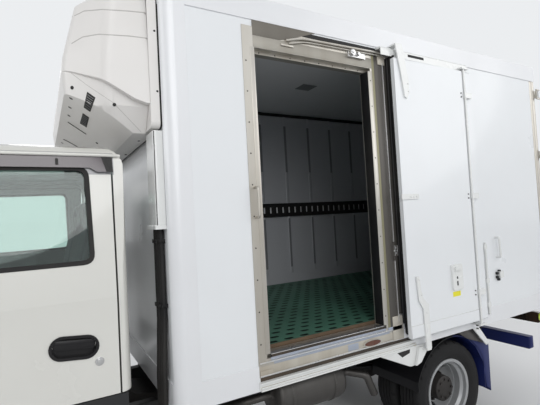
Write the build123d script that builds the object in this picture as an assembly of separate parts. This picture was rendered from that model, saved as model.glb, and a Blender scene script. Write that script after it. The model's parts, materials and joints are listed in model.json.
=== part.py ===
from build123d import *
import math
import os

# Light refrigerated truck: forward-control cab, insulated box with a sliding side door,
# cooling unit over the cab. Millimetres, +Z up, the front faces -Y, the side door is on +X.

# Length and axles
WHEELBASE = 2490
FRONT_OVERHANG = 1090
BOX_BEHIND_AXLE = 1270
REAR_GEAR = 50
LENGTH = FRONT_OVERHANG + WHEELBASE + BOX_BEHIND_AXLE + REAR_GEAR
FRONT_Y = -LENGTH / 2
FRONT_AXLE_Y = FRONT_Y + FRONT_OVERHANG
REAR_AXLE_Y = FRONT_AXLE_Y + WHEELBASE

# Cab length and its gap to the box
CAB_FRONT_Y = FRONT_Y + 20
CAB_LENGTH = 1395
CAB_REAR_Y = CAB_FRONT_Y + CAB_LENGTH
CAB_GAP = 175

# Insulated box
BOX_HALF = 925
BOX_BOTTOM_Z = 769
BOX_HEIGHT = 2055
BOX_TOP_Z = BOX_BOTTOM_Z + BOX_HEIGHT
BOX_REAR_Y = REAR_AXLE_Y + BOX_BEHIND_AXLE
BOX_FRONT_Y = CAB_REAR_Y + CAB_GAP
BOX_CORNER_R = 60
WALL = 75
ROOF_THICK = 80
FLOOR_TOP_Z = BOX_BOTTOM_Z + 166
FLOOR_PANEL = 110
BEARER_HEIGHT = 60
PORTAL_DEPTH = 80
RAIL_SKIN = 6
ROOF_RAIL_HEIGHT = 122
LOWER_RAIL_HEIGHT = 124
POST_WIDTH = 125
POST_RETURN = 40

# Side door opening, stainless frame and the door slid to the rear
DOORWAY_WIDTH = 810
DOORWAY_FRONT_Y = BOX_FRONT_Y + 490
DOORWAY_REAR_Y = DOORWAY_FRONT_Y + DOORWAY_WIDTH
DOORWAY_SILL_Z = FLOOR_TOP_Z + 5
DOORWAY_HEAD_Z = BOX_TOP_Z - 289
FRAME_SIDE = 68
FRAME_HEAD = 131
FRAME_SILL = 105
FRAME_PROUD = 4
DOOR_FRONT_Y = DOORWAY_REAR_Y + 160
DOOR_HINGE_Y = DOOR_FRONT_Y + 690
DOOR_REAR_Y = DOOR_HINGE_Y + 110
DOOR_BOTTOM_Z = DOORWAY_SILL_Z - 100
DOOR_TOP_Z = DOORWAY_HEAD_Z + 90
DOOR_OUTER_X = 997
DOOR_SKIN = 28
DOOR_BAND = 3
DOOR_PLUG_INSET = 14
SEAL_WIDTH = 26

# Frame and suspension
FRAME_HALF = 345
RAIL_FLANGE = 60
RAIL_PLATE = 8
RAIL_BOTTOM_Z = 460
RAIL_TOP_Z = 620
RAIL_FRONT_Y = FRONT_Y + 75
RAIL_REAR_Y = BOX_REAR_Y - 200
SPRING_WIDTH = 50
LEAF = 10
EYE_R = 20
PIN_R = 9
RUNNING_GAP = 0.3

# Wheels and tyres
TYRE_R = 342
TYRE_WIDTH = 185
RIM_FLANGE_R = 217.5
RIM_SEAT_R = 203
RIM_HALF = 75
TWIN_SPACING = 215
DISC_PLATE = 10
FRONT_WHEEL_X = 700
REAR_OUTER_X = 755
KINGPIN_X = 620
SPINDLE_R = 22
REAR_SPINDLE_R = 30

# Cab
CAB_HALF = 847.5
CAB_SKIN = 40
CAB_DOOR_THICK = 45
CAB_FRONT_BOTTOM_Z = 700
CAB_STEP_BOTTOM_Z = 600
CAB_SILL_Z = 905
BELT_Z = 1487
CAB_ROOF_SEAM_Z = 1957
CAB_TOP_Z = 2022
CAB_DOOR_FRONT_Y = CAB_FRONT_Y + 370
CAB_DOOR_REAR_Y = CAB_REAR_Y - 55
CAB_DOOR_GAP = 8
SEAT_DECK_Z = 960
FOOT_FLOOR_Z = 665
FLOOR_PLATE = 25
RISER_Y = FRONT_AXLE_Y - 475
STEP_FRONT_Y = CAB_FRONT_Y + 215
WINDOW_TOP_Z = CAB_ROOF_SEAM_Z - 44
HANDLE_Y = CAB_DOOR_REAR_Y - 178
HANDLE_Z = BELT_Z - 349
TILT_Y = FRONT_Y + 50
TILT_Z = 620
TILT_PIN_R = 10
TILT_EAR_R = 20
TILT_EAR = (FRAME_HALF + 13, FRAME_HALF + 33)
GLASS = 5
SCREEN_INSET = 14
GLASS_SEAT = 0.3

# Cooling unit on the front wall
UNIT_HALF_REAR = 885
UNIT_HALF_FRONT = 725
UNIT_DEPTH = 420
UNIT_SIDE_DEPTH = 250
UNIT_TOP_Z = BOX_TOP_Z - 49
UNIT_OVER_CAB = 70
UNIT_BOTTOM_Z = CAB_TOP_Z + UNIT_OVER_CAB
UNIT_HEIGHT = UNIT_TOP_Z - UNIT_BOTTOM_Z
UNIT_GASKET = 10

# Hardware at the outline
MIRROR_OUTER_X = 1062
BUMPER_BOTTOM_Z = 350
BUMPER_TOP_Z = 670
PARTS = {}


def block(x_span, y_span, z_span):
    """A cuboid between two values along each axis."""
    spans = (x_span, y_span, z_span)
    centre = [(low + high) / 2 for low, high in spans]
    size = [abs(high - low) for low, high in spans]
    return Pos(*centre) * Box(*size)


def along_x(outline, x_low, x_high):
    """Extrude a sketch drawn in (y, z) from x_low to x_high."""
    return extrude(Plane.YZ.offset(x_low) * outline, amount=x_high - x_low, dir=(1, 0, 0))


def along_y(outline, y_low, y_high):
    """Extrude a sketch drawn in (x, z) from y_low to y_high."""
    return extrude(Plane.XZ.offset(-y_low) * outline, amount=y_high - y_low, dir=(0, 1, 0))


def along_z(outline, z_low, z_high):
    """Extrude a sketch drawn in (x, y) from z_low to z_high."""
    return extrude(Plane.XY.offset(z_low) * outline, amount=z_high - z_low, dir=(0, 0, 1))


def outline(points, radius=0):
    """A closed polygon, with every corner rounded when a radius is given."""
    shape = Polygon(*points, align=None)
    return fillet(shape.vertices(), radius) if radius else shape


def rod(start, end, radius):
    """A round bar between two points."""
    way = Vector(*end) - Vector(*start)
    return extrude(Plane(origin=start, z_dir=way) * Circle(radius), amount=way.length, dir=way)


def mirrored(shape):
    """The same shape on the other side of the centre plane."""
    return mirror(shape, about=Plane.YZ)


def bent_tube(points, radius, corner):
    """A round tube along straight runs joined by tangent arcs."""
    path = FilletPolyline(*points, radius=corner)
    return sweep(Plane(origin=path @ 0, z_dir=path % 0) * Circle(radius), path=path)


def turned(profile, x_place, y_place, z_place, side):
    """Revolve a profile of (axial, radius) points about a wheel's axle line.

    side is +1 when the axial direction points to +X and -1 when it points to -X.
    """
    shape = revolve(profile, axis=Axis.X)
    if side < 0:
        shape = mirror(shape, about=Plane.YZ)
    return Pos(x_place, y_place, z_place) * shape


def solids_of(*shapes):
    """Several solids that share a node without touching."""
    return Compound(children=[part for shape in shapes for part in shape.solids()])


# Ladder frame, springs and axles


def frame_section(side):
    """Channel section of one frame rail in (x, z), open towards the middle."""
    web = side * FRAME_HALF
    inner = side * (FRAME_HALF - RAIL_FLANGE)
    back = side * (FRAME_HALF - RAIL_PLATE)
    return Polygon(
        (web, RAIL_BOTTOM_Z), (web, RAIL_TOP_Z), (inner, RAIL_TOP_Z),
        (inner, RAIL_TOP_Z - RAIL_PLATE), (back, RAIL_TOP_Z - RAIL_PLATE),
        (back, RAIL_BOTTOM_Z + RAIL_PLATE), (inner, RAIL_BOTTOM_Z + RAIL_PLATE),
        (inner, RAIL_BOTTOM_Z), align=None)


# Spring sets: axle place, middle of the spring in x, half span, eye height, height of the
# pack's underside at the axle, leaves in the pack
SPRINGS = {
    "front": (FRONT_AXLE_Y, FRAME_HALF - 25, 500, 412, 312, 4),
    "rear": (REAR_AXLE_Y, FRAME_HALF + 45, 530, 505, 395, 5),
}
BRACKET_PLATE = 7
CROSSMEMBERS = (RAIL_FRONT_Y + 85, FRONT_AXLE_Y + 860, FRONT_AXLE_Y + 1310, REAR_AXLE_Y - 430, REAR_AXLE_Y + 430,
                RAIL_REAR_Y - 70)
CROSSMEMBER_WIDTH = 60


def spring_hanger(spring, side, end):
    """Two cheek plates and a pin that hold one spring eye, set against the frame rail."""
    axle_y, mid_x, half_span, eye_z, _, _ = SPRINGS[spring]
    y = axle_y + end * half_span
    outboard = mid_x > FRAME_HALF
    reach = SPRING_WIDTH / 2 + RUNNING_GAP + BRACKET_PLATE
    pin = rod((mid_x - reach, y, eye_z), (mid_x + reach, y, eye_z), PIN_R)
    hanger = pin
    for face in (-1, 1):
        near = mid_x + face * (SPRING_WIDTH / 2 + RUNNING_GAP)
        far = near + face * BRACKET_PLATE
        top_z = max(RAIL_BOTTOM_Z + 45, eye_z + 55)
        if face < 0 and not outboard:
            top_z = RAIL_BOTTOM_Z - RUNNING_GAP
        plate = Polygon((y - 34, top_z), (y + 34, top_z), (y + 22, eye_z - 24), (y - 22, eye_z - 24), align=None)
        hanger += along_x(plate, min(near, far), max(near, far))
    if outboard:
        hanger += block((FRAME_HALF + RUNNING_GAP, mid_x + reach), (y - 30, y + 30),
                        (eye_z + EYE_R + 8, eye_z + EYE_R + 34))
    else:
        hanger += block((mid_x - reach, mid_x + reach), (y - 30, y + 30),
                        (RAIL_BOTTOM_Z - 14, RAIL_BOTTOM_Z - RUNNING_GAP))
    return hanger if side > 0 else mirrored(hanger)


def crossmember(y):
    """Channel crossmember between the webs of the rails."""
    half = FRAME_HALF - RAIL_PLATE - RUNNING_GAP
    low = RAIL_BOTTOM_Z + 90
    high = RAIL_TOP_Z - RAIL_PLATE - RUNNING_GAP
    back = y + CROSSMEMBER_WIDTH
    channel = Polygon((y, low), (y, high), (back, high), (back, high - RAIL_PLATE),
                      (y + RAIL_PLATE, high - RAIL_PLATE),
                      (y + RAIL_PLATE, low + RAIL_PLATE), (back, low + RAIL_PLATE), (back, low), align=None)
    return along_x(channel, -half, half)


def tilt_bracket():
    """Plate at a rail's front end with the pin that the cab tilts on."""
    outline = Polygon((TILT_Y - 20, TILT_Z - 15), (TILT_Y - 20, TILT_Z + 18), (TILT_Y + 20, TILT_Z + 18),
                      (TILT_Y + 70, RAIL_TOP_Z - 10), (TILT_Y + 70, RAIL_TOP_Z - 60), align=None)
    plate = along_x(outline, FRAME_HALF - 1, FRAME_HALF + 10)
    return plate + rod((FRAME_HALF, TILT_Y, TILT_Z), (TILT_EAR[1] + 3, TILT_Y, TILT_Z), TILT_PIN_R)


def frame_rails():
    """Two channel rails with the tilt pins, and the crossmembers and spring hangers between them."""
    solids = []
    for side in (-1, 1):
        bracket = tilt_bracket()
        rail = along_y(frame_section(side), RAIL_FRONT_Y, RAIL_REAR_Y)
        solids.append(rail + (bracket if side > 0 else mirrored(bracket)))
        for spring in SPRINGS:
            for end in (-1, 1):
                solids.append(spring_hanger(spring, side, end))
    for y in CROSSMEMBERS:
        solids.append(crossmember(y))
    return solids_of(*solids)


def leaf_pack(spring, side):
    """A semi-elliptic pack: curved leaves that get shorter downwards, with two eyes."""
    axle_y, mid_x, half_span, eye_z, seat_z, leaves = SPRINGS[spring]
    main_z = seat_z + leaves * LEAF
    sag = eye_z - main_z + LEAF / 2
    radius = (half_span ** 2 + sag ** 2) / (2 * sag)
    pack = None
    for leaf in range(leaves):
        inner = radius + leaf * LEAF
        reach = half_span * (1 - leaf * 0.17)
        ring = Circle(inner + LEAF) - Circle(inner)
        window = Pos(0, -radius) * Rectangle(2 * reach, radius * 0.6)
        leaf_face = Pos(axle_y, main_z + radius) * (ring & window)
        pack = leaf_face if pack is None else pack + leaf_face
    for end in (-1, 1):
        pack += Pos(axle_y + end * half_span, eye_z) * Circle(EYE_R)
    for end in (-1, 1):
        pack -= Pos(axle_y + end * half_span, eye_z) * Circle(PIN_R + RUNNING_GAP)
    pack &= Pos(axle_y, eye_z) * Rectangle(2 * (half_span + EYE_R), 600)
    shape = along_x(pack, mid_x - SPRING_WIDTH / 2, mid_x + SPRING_WIDTH / 2)
    return shape if side > 0 else mirrored(shape)


def leaf_springs():
    """Four packs, one for each wheel position."""
    return solids_of(*[leaf_pack(spring, side) for spring in SPRINGS for side in (-1, 1)])


BEAM_EYE_R = 29
BEAM_EYE_HALF = 42
KINGPIN_R = 14
LUG = 26


def front_axle_beam():
    """Dropped I-section beam with spring pads and a bored eye at each end."""
    seat_z = SPRINGS["front"][4]
    end_x = KINGPIN_X - 18
    upper = [(-end_x, TYRE_R + 30), (-500, TYRE_R + 12), (-410, seat_z), (410, seat_z),
             (500, TYRE_R + 12), (end_x, TYRE_R + 30)]
    lower = [(end_x, TYRE_R - 30), (490, TYRE_R - 44), (400, seat_z - 62), (-400, seat_z - 62),
             (-490, TYRE_R - 44), (-end_x, TYRE_R - 30)]
    y = FRONT_AXLE_Y
    beam = along_y(outline(upper + lower), y - 32, y + 32)
    groove = Polygon((-395, seat_z - 14), (395, seat_z - 14), (395, seat_z - 48), (-395, seat_z - 48),
                     align=None)
    groove = fillet(groove.vertices(), 10)
    beam -= along_y(groove, y - 33, y - 12)
    beam -= along_y(groove, y + 12, y + 33)
    for side in (-1, 1):
        beam += Pos(side * KINGPIN_X, y, TYRE_R) * Cylinder(BEAM_EYE_R, 2 * BEAM_EYE_HALF)
        beam -= Pos(side * KINGPIN_X, y, TYRE_R) * Cylinder(KINGPIN_R + RUNNING_GAP, 300)
    return beam


def knuckle(side):
    """Forked stub axle: two lugs about the beam's eye, kingpin, spindle, steering arm."""
    y = FRONT_AXLE_Y
    lug_face = Circle(30) + Pos(28, 0) * Rectangle(56, 60)
    shape = None
    for end in (-1, 1):
        low = TYRE_R + end * (BEAM_EYE_HALF + RUNNING_GAP + LUG / 2) - LUG / 2
        lug = Pos(KINGPIN_X, y) * along_z(lug_face, low, low + LUG)
        shape = lug if shape is None else shape + lug
    top = BEAM_EYE_HALF + RUNNING_GAP + LUG
    shape += block((KINGPIN_X + 36, KINGPIN_X + 62), (y - 42, y + 42), (TYRE_R - top, TYRE_R + top))
    shape += Pos(KINGPIN_X, y, TYRE_R) * Cylinder(KINGPIN_R, 2 * top)
    plate_x = KINGPIN_X + 62
    shape += rod((plate_x - 2, y, TYRE_R), (plate_x + 5, y, TYRE_R), 146)
    shape += rod((plate_x, y, TYRE_R), (FRONT_WHEEL_X + 92, y, TYRE_R), SPINDLE_R)
    arm = Polygon((KINGPIN_X + 20, y + 20), (KINGPIN_X - 18, y + 20), (KINGPIN_X - 34, y + 150),
                  (KINGPIN_X - 10, y + 158), align=None)
    shape += along_z(arm, TYRE_R - top, TYRE_R - top + 18)
    return shape if side > 0 else mirrored(shape)


BANJO_R = 150
AXLE_TUBE_R = 45


def rear_axle():
    """Banjo housing with hollow-look tubes, spring pads, spindles and the propeller shaft."""
    y = REAR_AXLE_Y
    z = TYRE_R
    seat_z = SPRINGS["rear"][4]
    mid_x = SPRINGS["rear"][1]
    shape = rod((-430, y, z), (430, y, z), AXLE_TUBE_R)
    bowl = Polygon((-120, 0), (-120, 70), (-70, 125), (-30, BANJO_R), (30, BANJO_R), (70, 125),
                   (120, 70), (120, 0), align=None)
    bowl = fillet([v for v in bowl.vertices() if v.Y > 60], 18)
    shape += Pos(0, y, z) * revolve(bowl, axis=Axis.X)
    shape += rod((0, y + 60, z), (0, y - 230, z), 62)
    for side in (-1, 1):
        shape += rod((side * 425, y, z), (side * (REAR_OUTER_X - 25), y, z), REAR_SPINDLE_R)
        pad = (side * mid_x - 32, side * mid_x + 32)
        shape += block(pad, (y - 60, y + 60), (z + 20, seat_z))
    nose_y = y - 225
    shaft_end = (0, GEARBOX_REAR_Y + 20, 480)
    shape += rod((0, nose_y, z), (0, nose_y - 60, z + 4), 40)
    shape += rod((0, nose_y - 40, z + 3), shaft_end, 38)
    shape += rod((0, GEARBOX_REAR_Y + RUNNING_GAP, 480), (0, GEARBOX_REAR_Y + 32, 480), 52)
    return shape


ENGINE_FRONT_Y = FRONT_AXLE_Y - 430
ENGINE_REAR_Y = FRONT_AXLE_Y + 180
GEARBOX_REAR_Y = FRONT_AXLE_Y + 800
BELL_REAR_Y = FRONT_AXLE_Y + 360
RADIATOR_Y = (FRONT_AXLE_Y - 730, FRONT_AXLE_Y - 660)


def engine_block():
    """Engine, bell housing, gearbox and radiator as one plain mass between the rails."""
    body = block((-255, 255), (ENGINE_FRONT_Y, ENGINE_REAR_Y), (420, 900))
    body = chamfer(body.edges().filter_by(Axis.Y), 40)
    box_side = Polygon((ENGINE_REAR_Y - 5, 400), (ENGINE_REAR_Y - 5, 760), (BELL_REAR_Y, 690),
                       (BELL_REAR_Y + 100, 610),
                       (GEARBOX_REAR_Y, 540), (GEARBOX_REAR_Y, 410), (BELL_REAR_Y + 100, 400), align=None)
    body += along_x(box_side, -150, 150)
    fan = rod((0, ENGINE_FRONT_Y + 5, 560), (0, RADIATOR_Y[1] - 10, 560), 60)
    radiator = block((-262, 262), RADIATOR_Y, (400, 628))
    return body + fan + radiator


TANK_Y = (BOX_FRONT_Y + 240, BOX_FRONT_Y + 880)


def fuel_tank():
    """Rounded rectangular tank on the right rail, with two straps and its filler neck."""
    section = Polygon((-372, 420), (-372, 700), (-730, 700), (-730, 420), align=None)
    section = fillet(section.vertices(), 45)
    tank = along_y(section, *TANK_Y)
    tank = fillet(tank.faces().sort_by(Axis.Y)[0].edges(), 12)
    for y in (TANK_Y[0] + 130, TANK_Y[1] - 170):
        tank += along_y(offset(section, 4), y, y + 40)
        tank += block((-380, -FRAME_HALF), (y, y + 40), (RAIL_BOTTOM_Z + 20, RAIL_TOP_Z - 20))
    tank += rod((-700, TANK_Y[0] + 70, 650), (-775, TANK_Y[0] + 70, 690), 30)
    return tank


BATTERY_Y = (TANK_Y[1] + 80, TANK_Y[1] + 490)


def battery_box():
    """Lidded battery box hung on the right rail between the tank and the rear wheels."""
    body = block((-690, -372), BATTERY_Y, (440, 660))
    body = fillet(body.edges().filter_by(Axis.Z), 14)
    lid = block((-698, -366), (BATTERY_Y[0] - 8, BATTERY_Y[1] + 8), (640, 700))
    lid = fillet(lid.edges().filter_by(Axis.Z), 16)
    lid = chamfer(lid.faces().sort_by(Axis.Z)[-1].edges(), 10)
    for y in (BATTERY_Y[0] + 60, BATTERY_Y[1] - 100):
        body += block((-380, -FRAME_HALF), (y, y + 40), (RAIL_BOTTOM_Z + 12, RAIL_TOP_Z - 12))
        lid -= block((-540, -520), (y, y + 40), (690, 705))
    return body + lid


MUFFLER_Y = (BOX_FRONT_Y + 670, BOX_FRONT_Y + 1190)


def muffler():
    """Round exhaust vessel under the left side, its inlet and the hooked tail pipe."""
    x = 560
    z = 560
    ends = Polygon((0, 0), (0, 92), (16, 125), (36, 132), (484, 132), (504, 125), (520, 92), (520, 0),
                   align=None)
    can = Pos(x, MUFFLER_Y[0], z) * (Rot(0, 0, 90) * revolve(ends, axis=Axis.X))
    for y in (MUFFLER_Y[0] + 90, MUFFLER_Y[1] - 110):
        can += rod((x, y, z), (x, y + 22, z), 136)
        can += block((FRAME_HALF, x - 95), (y, y + 22), (z - 14, z + 14))
    pipe = bent_tube([(x, MUFFLER_Y[1] - 8, z), (x, MUFFLER_Y[1] + 90, z), (x + 90, MUFFLER_Y[1] + 190, z - 20),
                      (x + 90, MUFFLER_Y[1] + 250, 400)], 26, 45)
    inlet = bent_tube([(x, MUFFLER_Y[0] + 8, z), (x, MUFFLER_Y[0] - 160, z), (420, MUFFLER_Y[0] - 260, 500),
                       (420, MUFFLER_Y[0] - 420, 500)], 24, 60)
    return can + pipe + inlet


# Wheels and tyres


def tyre_profile():
    """Tyre section in (axial, radius): bead, bulged wall, rounded shoulder, flat tread."""
    bead = RIM_HALF - 9.3
    half = TYRE_WIDTH / 2
    right = [(bead, RIM_SEAT_R + 0.3), (bead, RIM_FLANGE_R + 4), (half, 272), (half - 6, 314),
             (half - 20, TYRE_R - 4), (half - 42, TYRE_R)]
    left = [(-a, r) for a, r in reversed(right)]
    shape = Polygon(*(right + left), align=None)
    wall = [v for v in shape.vertices() if 260 < v.Y < TYRE_R - 1]
    return fillet(wall, 11)


def rim_profile():
    """Well-base rim in (axial, radius) as a thin band."""
    outer = [(-75, 217.5), (-66, 217.5), (-66, 203), (-44, 201), (-28, 184), (28, 184), (44, 201),
             (66, 203), (66, 217.5), (75, 217.5)]
    inner = [(75, 209), (72, 197), (47, 194.5), (31, 178), (-31, 178), (-47, 194.5), (-72, 197),
             (-75, 209)]
    return Polygon(*(outer + inner), align=None)


HAND_HOLES = 8
HAND_HOLE_R = 16


def wheel_disc():
    """Rim and coned disc about the X axis, the disc bulging to +X."""
    face = TWIN_SPACING / 2
    back = face - DISC_PLATE
    disc = Polygon((16, 180), (28, 180), (62, 170), (90, 150), (face, 130), (face, 78), (back, 78),
                   (back, 126), (82, 143), (55, 161), (22, 171), (16, 171), align=None)
    wheel = revolve(rim_profile(), axis=Axis.X) + revolve(disc, axis=Axis.X)
    hole = Pos(75, 151, 0) * (Rot(0, 90, 0) * Cylinder(HAND_HOLE_R, 90))
    for index in range(HAND_HOLES):
        wheel -= Rot(360 / HAND_HOLES * index, 0, 0) * hole
    return wheel


def front_wheel(side):
    """Front wheel with its brake drum and hub turning about the spindle."""
    face = TWIN_SPACING / 2
    bore = SPINDLE_R + RUNNING_GAP
    hub = Polygon((0, bore), (0, 62), (70, 62), (82, 128), (face - 9, 128), (face - 9, 78),
                  (face + 18, 62), (face + 26, 48), (face + 26, 0), (93, 0), (93, bore), align=None)
    drum = Polygon((-6, 152), (-6, 162), (84, 162), (90, 154), (90, 100), (80, 100), (80, 152),
                   align=None)
    shape = wheel_disc() + revolve(hub, axis=Axis.X) + revolve(drum, axis=Axis.X)
    if side < 0:
        shape = mirror(shape, about=Plane.YZ)
    return Pos(side * FRONT_WHEEL_X, FRONT_AXLE_Y, TYRE_R) * shape


def rear_wheels(side):
    """Twin wheels bolted back to back on one hub and drum."""
    outer = mirror(wheel_disc(), about=Plane.YZ)
    inner = Pos(-TWIN_SPACING, 0, 0) * wheel_disc()
    bore = REAR_SPINDLE_R + RUNNING_GAP
    hub = Polygon((-290, bore), (-290, 66), (-130, 66), (-124, 126), (-100, 126), (-96, 74),
                  (8, 74), (14, 88), (30, 88), (38, 70), (38, 0), (-20, 0), (-20, bore), align=None)
    drum = Polygon((-262, 150), (-262, 160), (-126, 160), (-118, 152), (-118, 100), (-128, 100),
                   (-132, 150), align=None)
    shape = outer + inner + revolve(hub, axis=Axis.X) + revolve(drum, axis=Axis.X)
    if side < 0:
        shape = mirror(shape, about=Plane.YZ)
    return Pos(side * REAR_OUTER_X, REAR_AXLE_Y, TYRE_R) * shape


def front_tyre(side):
    """One front tyre."""
    return turned(tyre_profile(), side * FRONT_WHEEL_X, FRONT_AXLE_Y, TYRE_R, side)


def rear_tyres(side):
    """The two tyres of a twin set."""
    return solids_of(*[
        turned(tyre_profile(), side * (REAR_OUTER_X - step * TWIN_SPACING), REAR_AXLE_Y, TYRE_R, side)
        for step in (0, 1)])


# Insulated box


def box_plan(grow=0):
    """Outline of the box from above, with rounded front corners."""
    half = BOX_HALF + grow
    plan = Polygon((-half, BOX_FRONT_Y - grow), (half, BOX_FRONT_Y - grow), (half, BOX_REAR_Y),
                   (-half, BOX_REAR_Y), align=None)
    front = [v for v in plan.vertices() if v.Y < BOX_FRONT_Y + 1]
    return fillet(front, BOX_CORNER_R + grow)


INNER_HALF = BOX_HALF - WALL
INNER_FRONT_Y = BOX_FRONT_Y + WALL
ROOF_UNDER_Z = BOX_TOP_Z - ROOF_THICK
PORTAL_FRONT_Y = BOX_REAR_Y - PORTAL_DEPTH
LINING_RIB = 12
RIB_WIDTH = 26
RIB_PITCH = 300


def doorway(grow=0):
    """Opening of the side door's frame in (y, z), grown by a margin."""
    return Polygon(
        (DOORWAY_FRONT_Y - grow, DOORWAY_SILL_Z - grow), (DOORWAY_REAR_Y + grow, DOORWAY_SILL_Z - grow),
        (DOORWAY_REAR_Y + grow, DOORWAY_HEAD_Z + grow), (DOORWAY_FRONT_Y - grow, DOORWAY_HEAD_Z + grow),
        align=None)


def frame_outline():
    """Outer edge of the stainless door frame in (y, z)."""
    return Polygon(
        (DOORWAY_FRONT_Y - FRAME_SIDE, DOORWAY_SILL_Z - FRAME_SILL),
        (DOORWAY_REAR_Y + FRAME_SIDE, DOORWAY_SILL_Z - FRAME_SILL),
        (DOORWAY_REAR_Y + FRAME_SIDE, DOORWAY_HEAD_Z + FRAME_HEAD),
        (DOORWAY_FRONT_Y - FRAME_SIDE, DOORWAY_HEAD_Z + FRAME_HEAD), align=None)


def rib_places():
    """Middles of the upright lining ribs along the load space."""
    count = int((PORTAL_FRONT_Y - INNER_FRONT_Y - 200) // RIB_PITCH)
    first = (INNER_FRONT_Y + PORTAL_FRONT_Y) / 2 - count * RIB_PITCH / 2
    return [first + RIB_PITCH * index for index in range(count + 1)]


def side_wall(side):
    """Full-height side wall with rounded front corner and ribbed lining."""
    shell = along_z(box_plan(), BOX_BOTTOM_Z, ROOF_UNDER_Z)
    strip = block((INNER_HALF, BOX_HALF + 5), (BOX_FRONT_Y - 5, PORTAL_FRONT_Y), (BOX_BOTTOM_Z, ROOF_UNDER_Z))
    wall = shell & strip
    for y in rib_places():
        if side > 0 and DOORWAY_FRONT_Y - FRAME_SIDE - RIB_WIDTH < y < DOORWAY_REAR_Y + FRAME_SIDE + RIB_WIDTH:
            continue
        wall += block((INNER_HALF - LINING_RIB, INNER_HALF), (y - RIB_WIDTH / 2, y + RIB_WIDTH / 2),
                      (KICK_TOP_Z, LASH_LOW_Z))
        wall += block((INNER_HALF - LINING_RIB, INNER_HALF), (y - RIB_WIDTH / 2, y + RIB_WIDTH / 2),
                      (LASH_HIGH_Z, ROOF_UNDER_Z))
    if side < 0:
        return mirrored(wall)
    return wall - along_x(frame_outline(), INNER_HALF - 50, BOX_HALF + 50)


KICK_TOP_Z = FLOOR_TOP_Z + 125
LASH_LOW_Z = FLOOR_TOP_Z + 715
LASH_HIGH_Z = LASH_LOW_Z + 140
LASH_DEPTH = 22
LASH_SLOT_PITCH = 75


def lashing_rail(side):
    """Perforated load-securing rail on a side wall, between the lining ribs."""
    runs = [(INNER_FRONT_Y + 40, PORTAL_FRONT_Y - 40)]
    if side > 0:
        runs = [(INNER_FRONT_Y + 40, DOORWAY_FRONT_Y - FRAME_SIDE - 20),
                (DOORWAY_REAR_Y + FRAME_SIDE + 20, PORTAL_FRONT_Y - 40)]
    rails = []
    for low_y, high_y in runs:
        rail = block((INNER_HALF - LASH_DEPTH, INNER_HALF), (low_y, high_y), (LASH_LOW_Z, LASH_HIGH_Z))
        count = int((high_y - low_y - 60) // LASH_SLOT_PITCH)
        start = (low_y + high_y) / 2 - (count - 1) * LASH_SLOT_PITCH / 2
        slots = Pos(start, (LASH_LOW_Z + LASH_HIGH_Z) / 2) * Rectangle(22, 64)
        for index in range(1, count):
            slots += Pos(start + index * LASH_SLOT_PITCH, (LASH_LOW_Z + LASH_HIGH_Z) / 2) * Rectangle(22, 64)
        rail -= along_x(slots, INNER_HALF - LASH_DEPTH - 1, INNER_HALF - 10)
        rails.append(rail if side > 0 else mirrored(rail))
    return rails


def box_front_wall():
    """Flat front wall between the side walls."""
    return block((-INNER_HALF, INNER_HALF), (BOX_FRONT_Y, INNER_FRONT_Y), (BOX_BOTTOM_Z, ROOF_UNDER_Z))


def box_roof():
    """Roof panel over all the walls, with rounded front corners."""
    return along_z(box_plan(), ROOF_UNDER_Z, BOX_TOP_Z)


def box_floor():
    """Insulated floor on cross bearers and two long sills that sit on the frame."""
    floor = block((-INNER_HALF, INNER_HALF), (INNER_FRONT_Y, PORTAL_FRONT_Y),
                  (FLOOR_TOP_Z - FLOOR_PANEL, FLOOR_TOP_Z))
    bearer_z = (FLOOR_TOP_Z - FLOOR_PANEL - BEARER_HEIGHT, FLOOR_TOP_Z - FLOOR_PANEL)
    count = 9
    pitch = (PORTAL_FRONT_Y - INNER_FRONT_Y - 160) / (count - 1)
    for index in range(count):
        y = INNER_FRONT_Y + 80 + index * pitch
        c_shape = Polygon((y, bearer_z[0]), (y, bearer_z[1]), (y + 45, bearer_z[1]), (y + 45, bearer_z[1] - 6),
                          (y + 6, bearer_z[1] - 6), (y + 6, bearer_z[0] + 6), (y + 45, bearer_z[0] + 6),
                          (y + 45, bearer_z[0]), align=None)
        floor += along_x(c_shape, -INNER_HALF, INNER_HALF)
    for side in (-1, 1):
        x = (side * FRAME_HALF, side * (FRAME_HALF - RAIL_FLANGE))
        sill = block((min(x), max(x)), (INNER_FRONT_Y, PORTAL_FRONT_Y), (RAIL_TOP_Z, bearer_z[0] + 3))
        floor += sill
    return floor


DECK_GAP = 0.3
DECK_THICK = 24


def floor_mat():
    """Perforated plastic deck on the floor by the side door, with staggered slots."""
    x_low, x_high = -INNER_HALF + 20, INNER_HALF - 6
    y_low, y_high = INNER_FRONT_Y + 30, PORTAL_FRONT_Y - 30
    return block((x_low, x_high), (y_low, y_high), (FLOOR_TOP_Z + DECK_GAP, FLOOR_TOP_Z + DECK_GAP + DECK_THICK))


PORTAL_POST = 85
PORTAL_HEAD = 110
PORTAL_SILL = 120
REAR_OPENING = (BOX_HALF - PORTAL_POST, BOX_BOTTOM_Z + PORTAL_SILL + 46, BOX_TOP_Z - PORTAL_HEAD)
HINGE_R = 13
HINGE_PIN_R = 6
HINGE_OUT = 30
HINGE_X = BOX_HALF + 22
HINGE_Y = BOX_REAR_Y + HINGE_OUT
HINGE_COUNT = 4
LOW_HINGE_Z = REAR_OPENING[1] + 75
TOP_HINGE_Z = REAR_OPENING[2] - 124
HINGE_HEIGHTS = [LOW_HINGE_Z + (TOP_HINGE_Z - LOW_HINGE_Z) * index / (HINGE_COUNT - 1) for index in range(HINGE_COUNT)]


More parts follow.
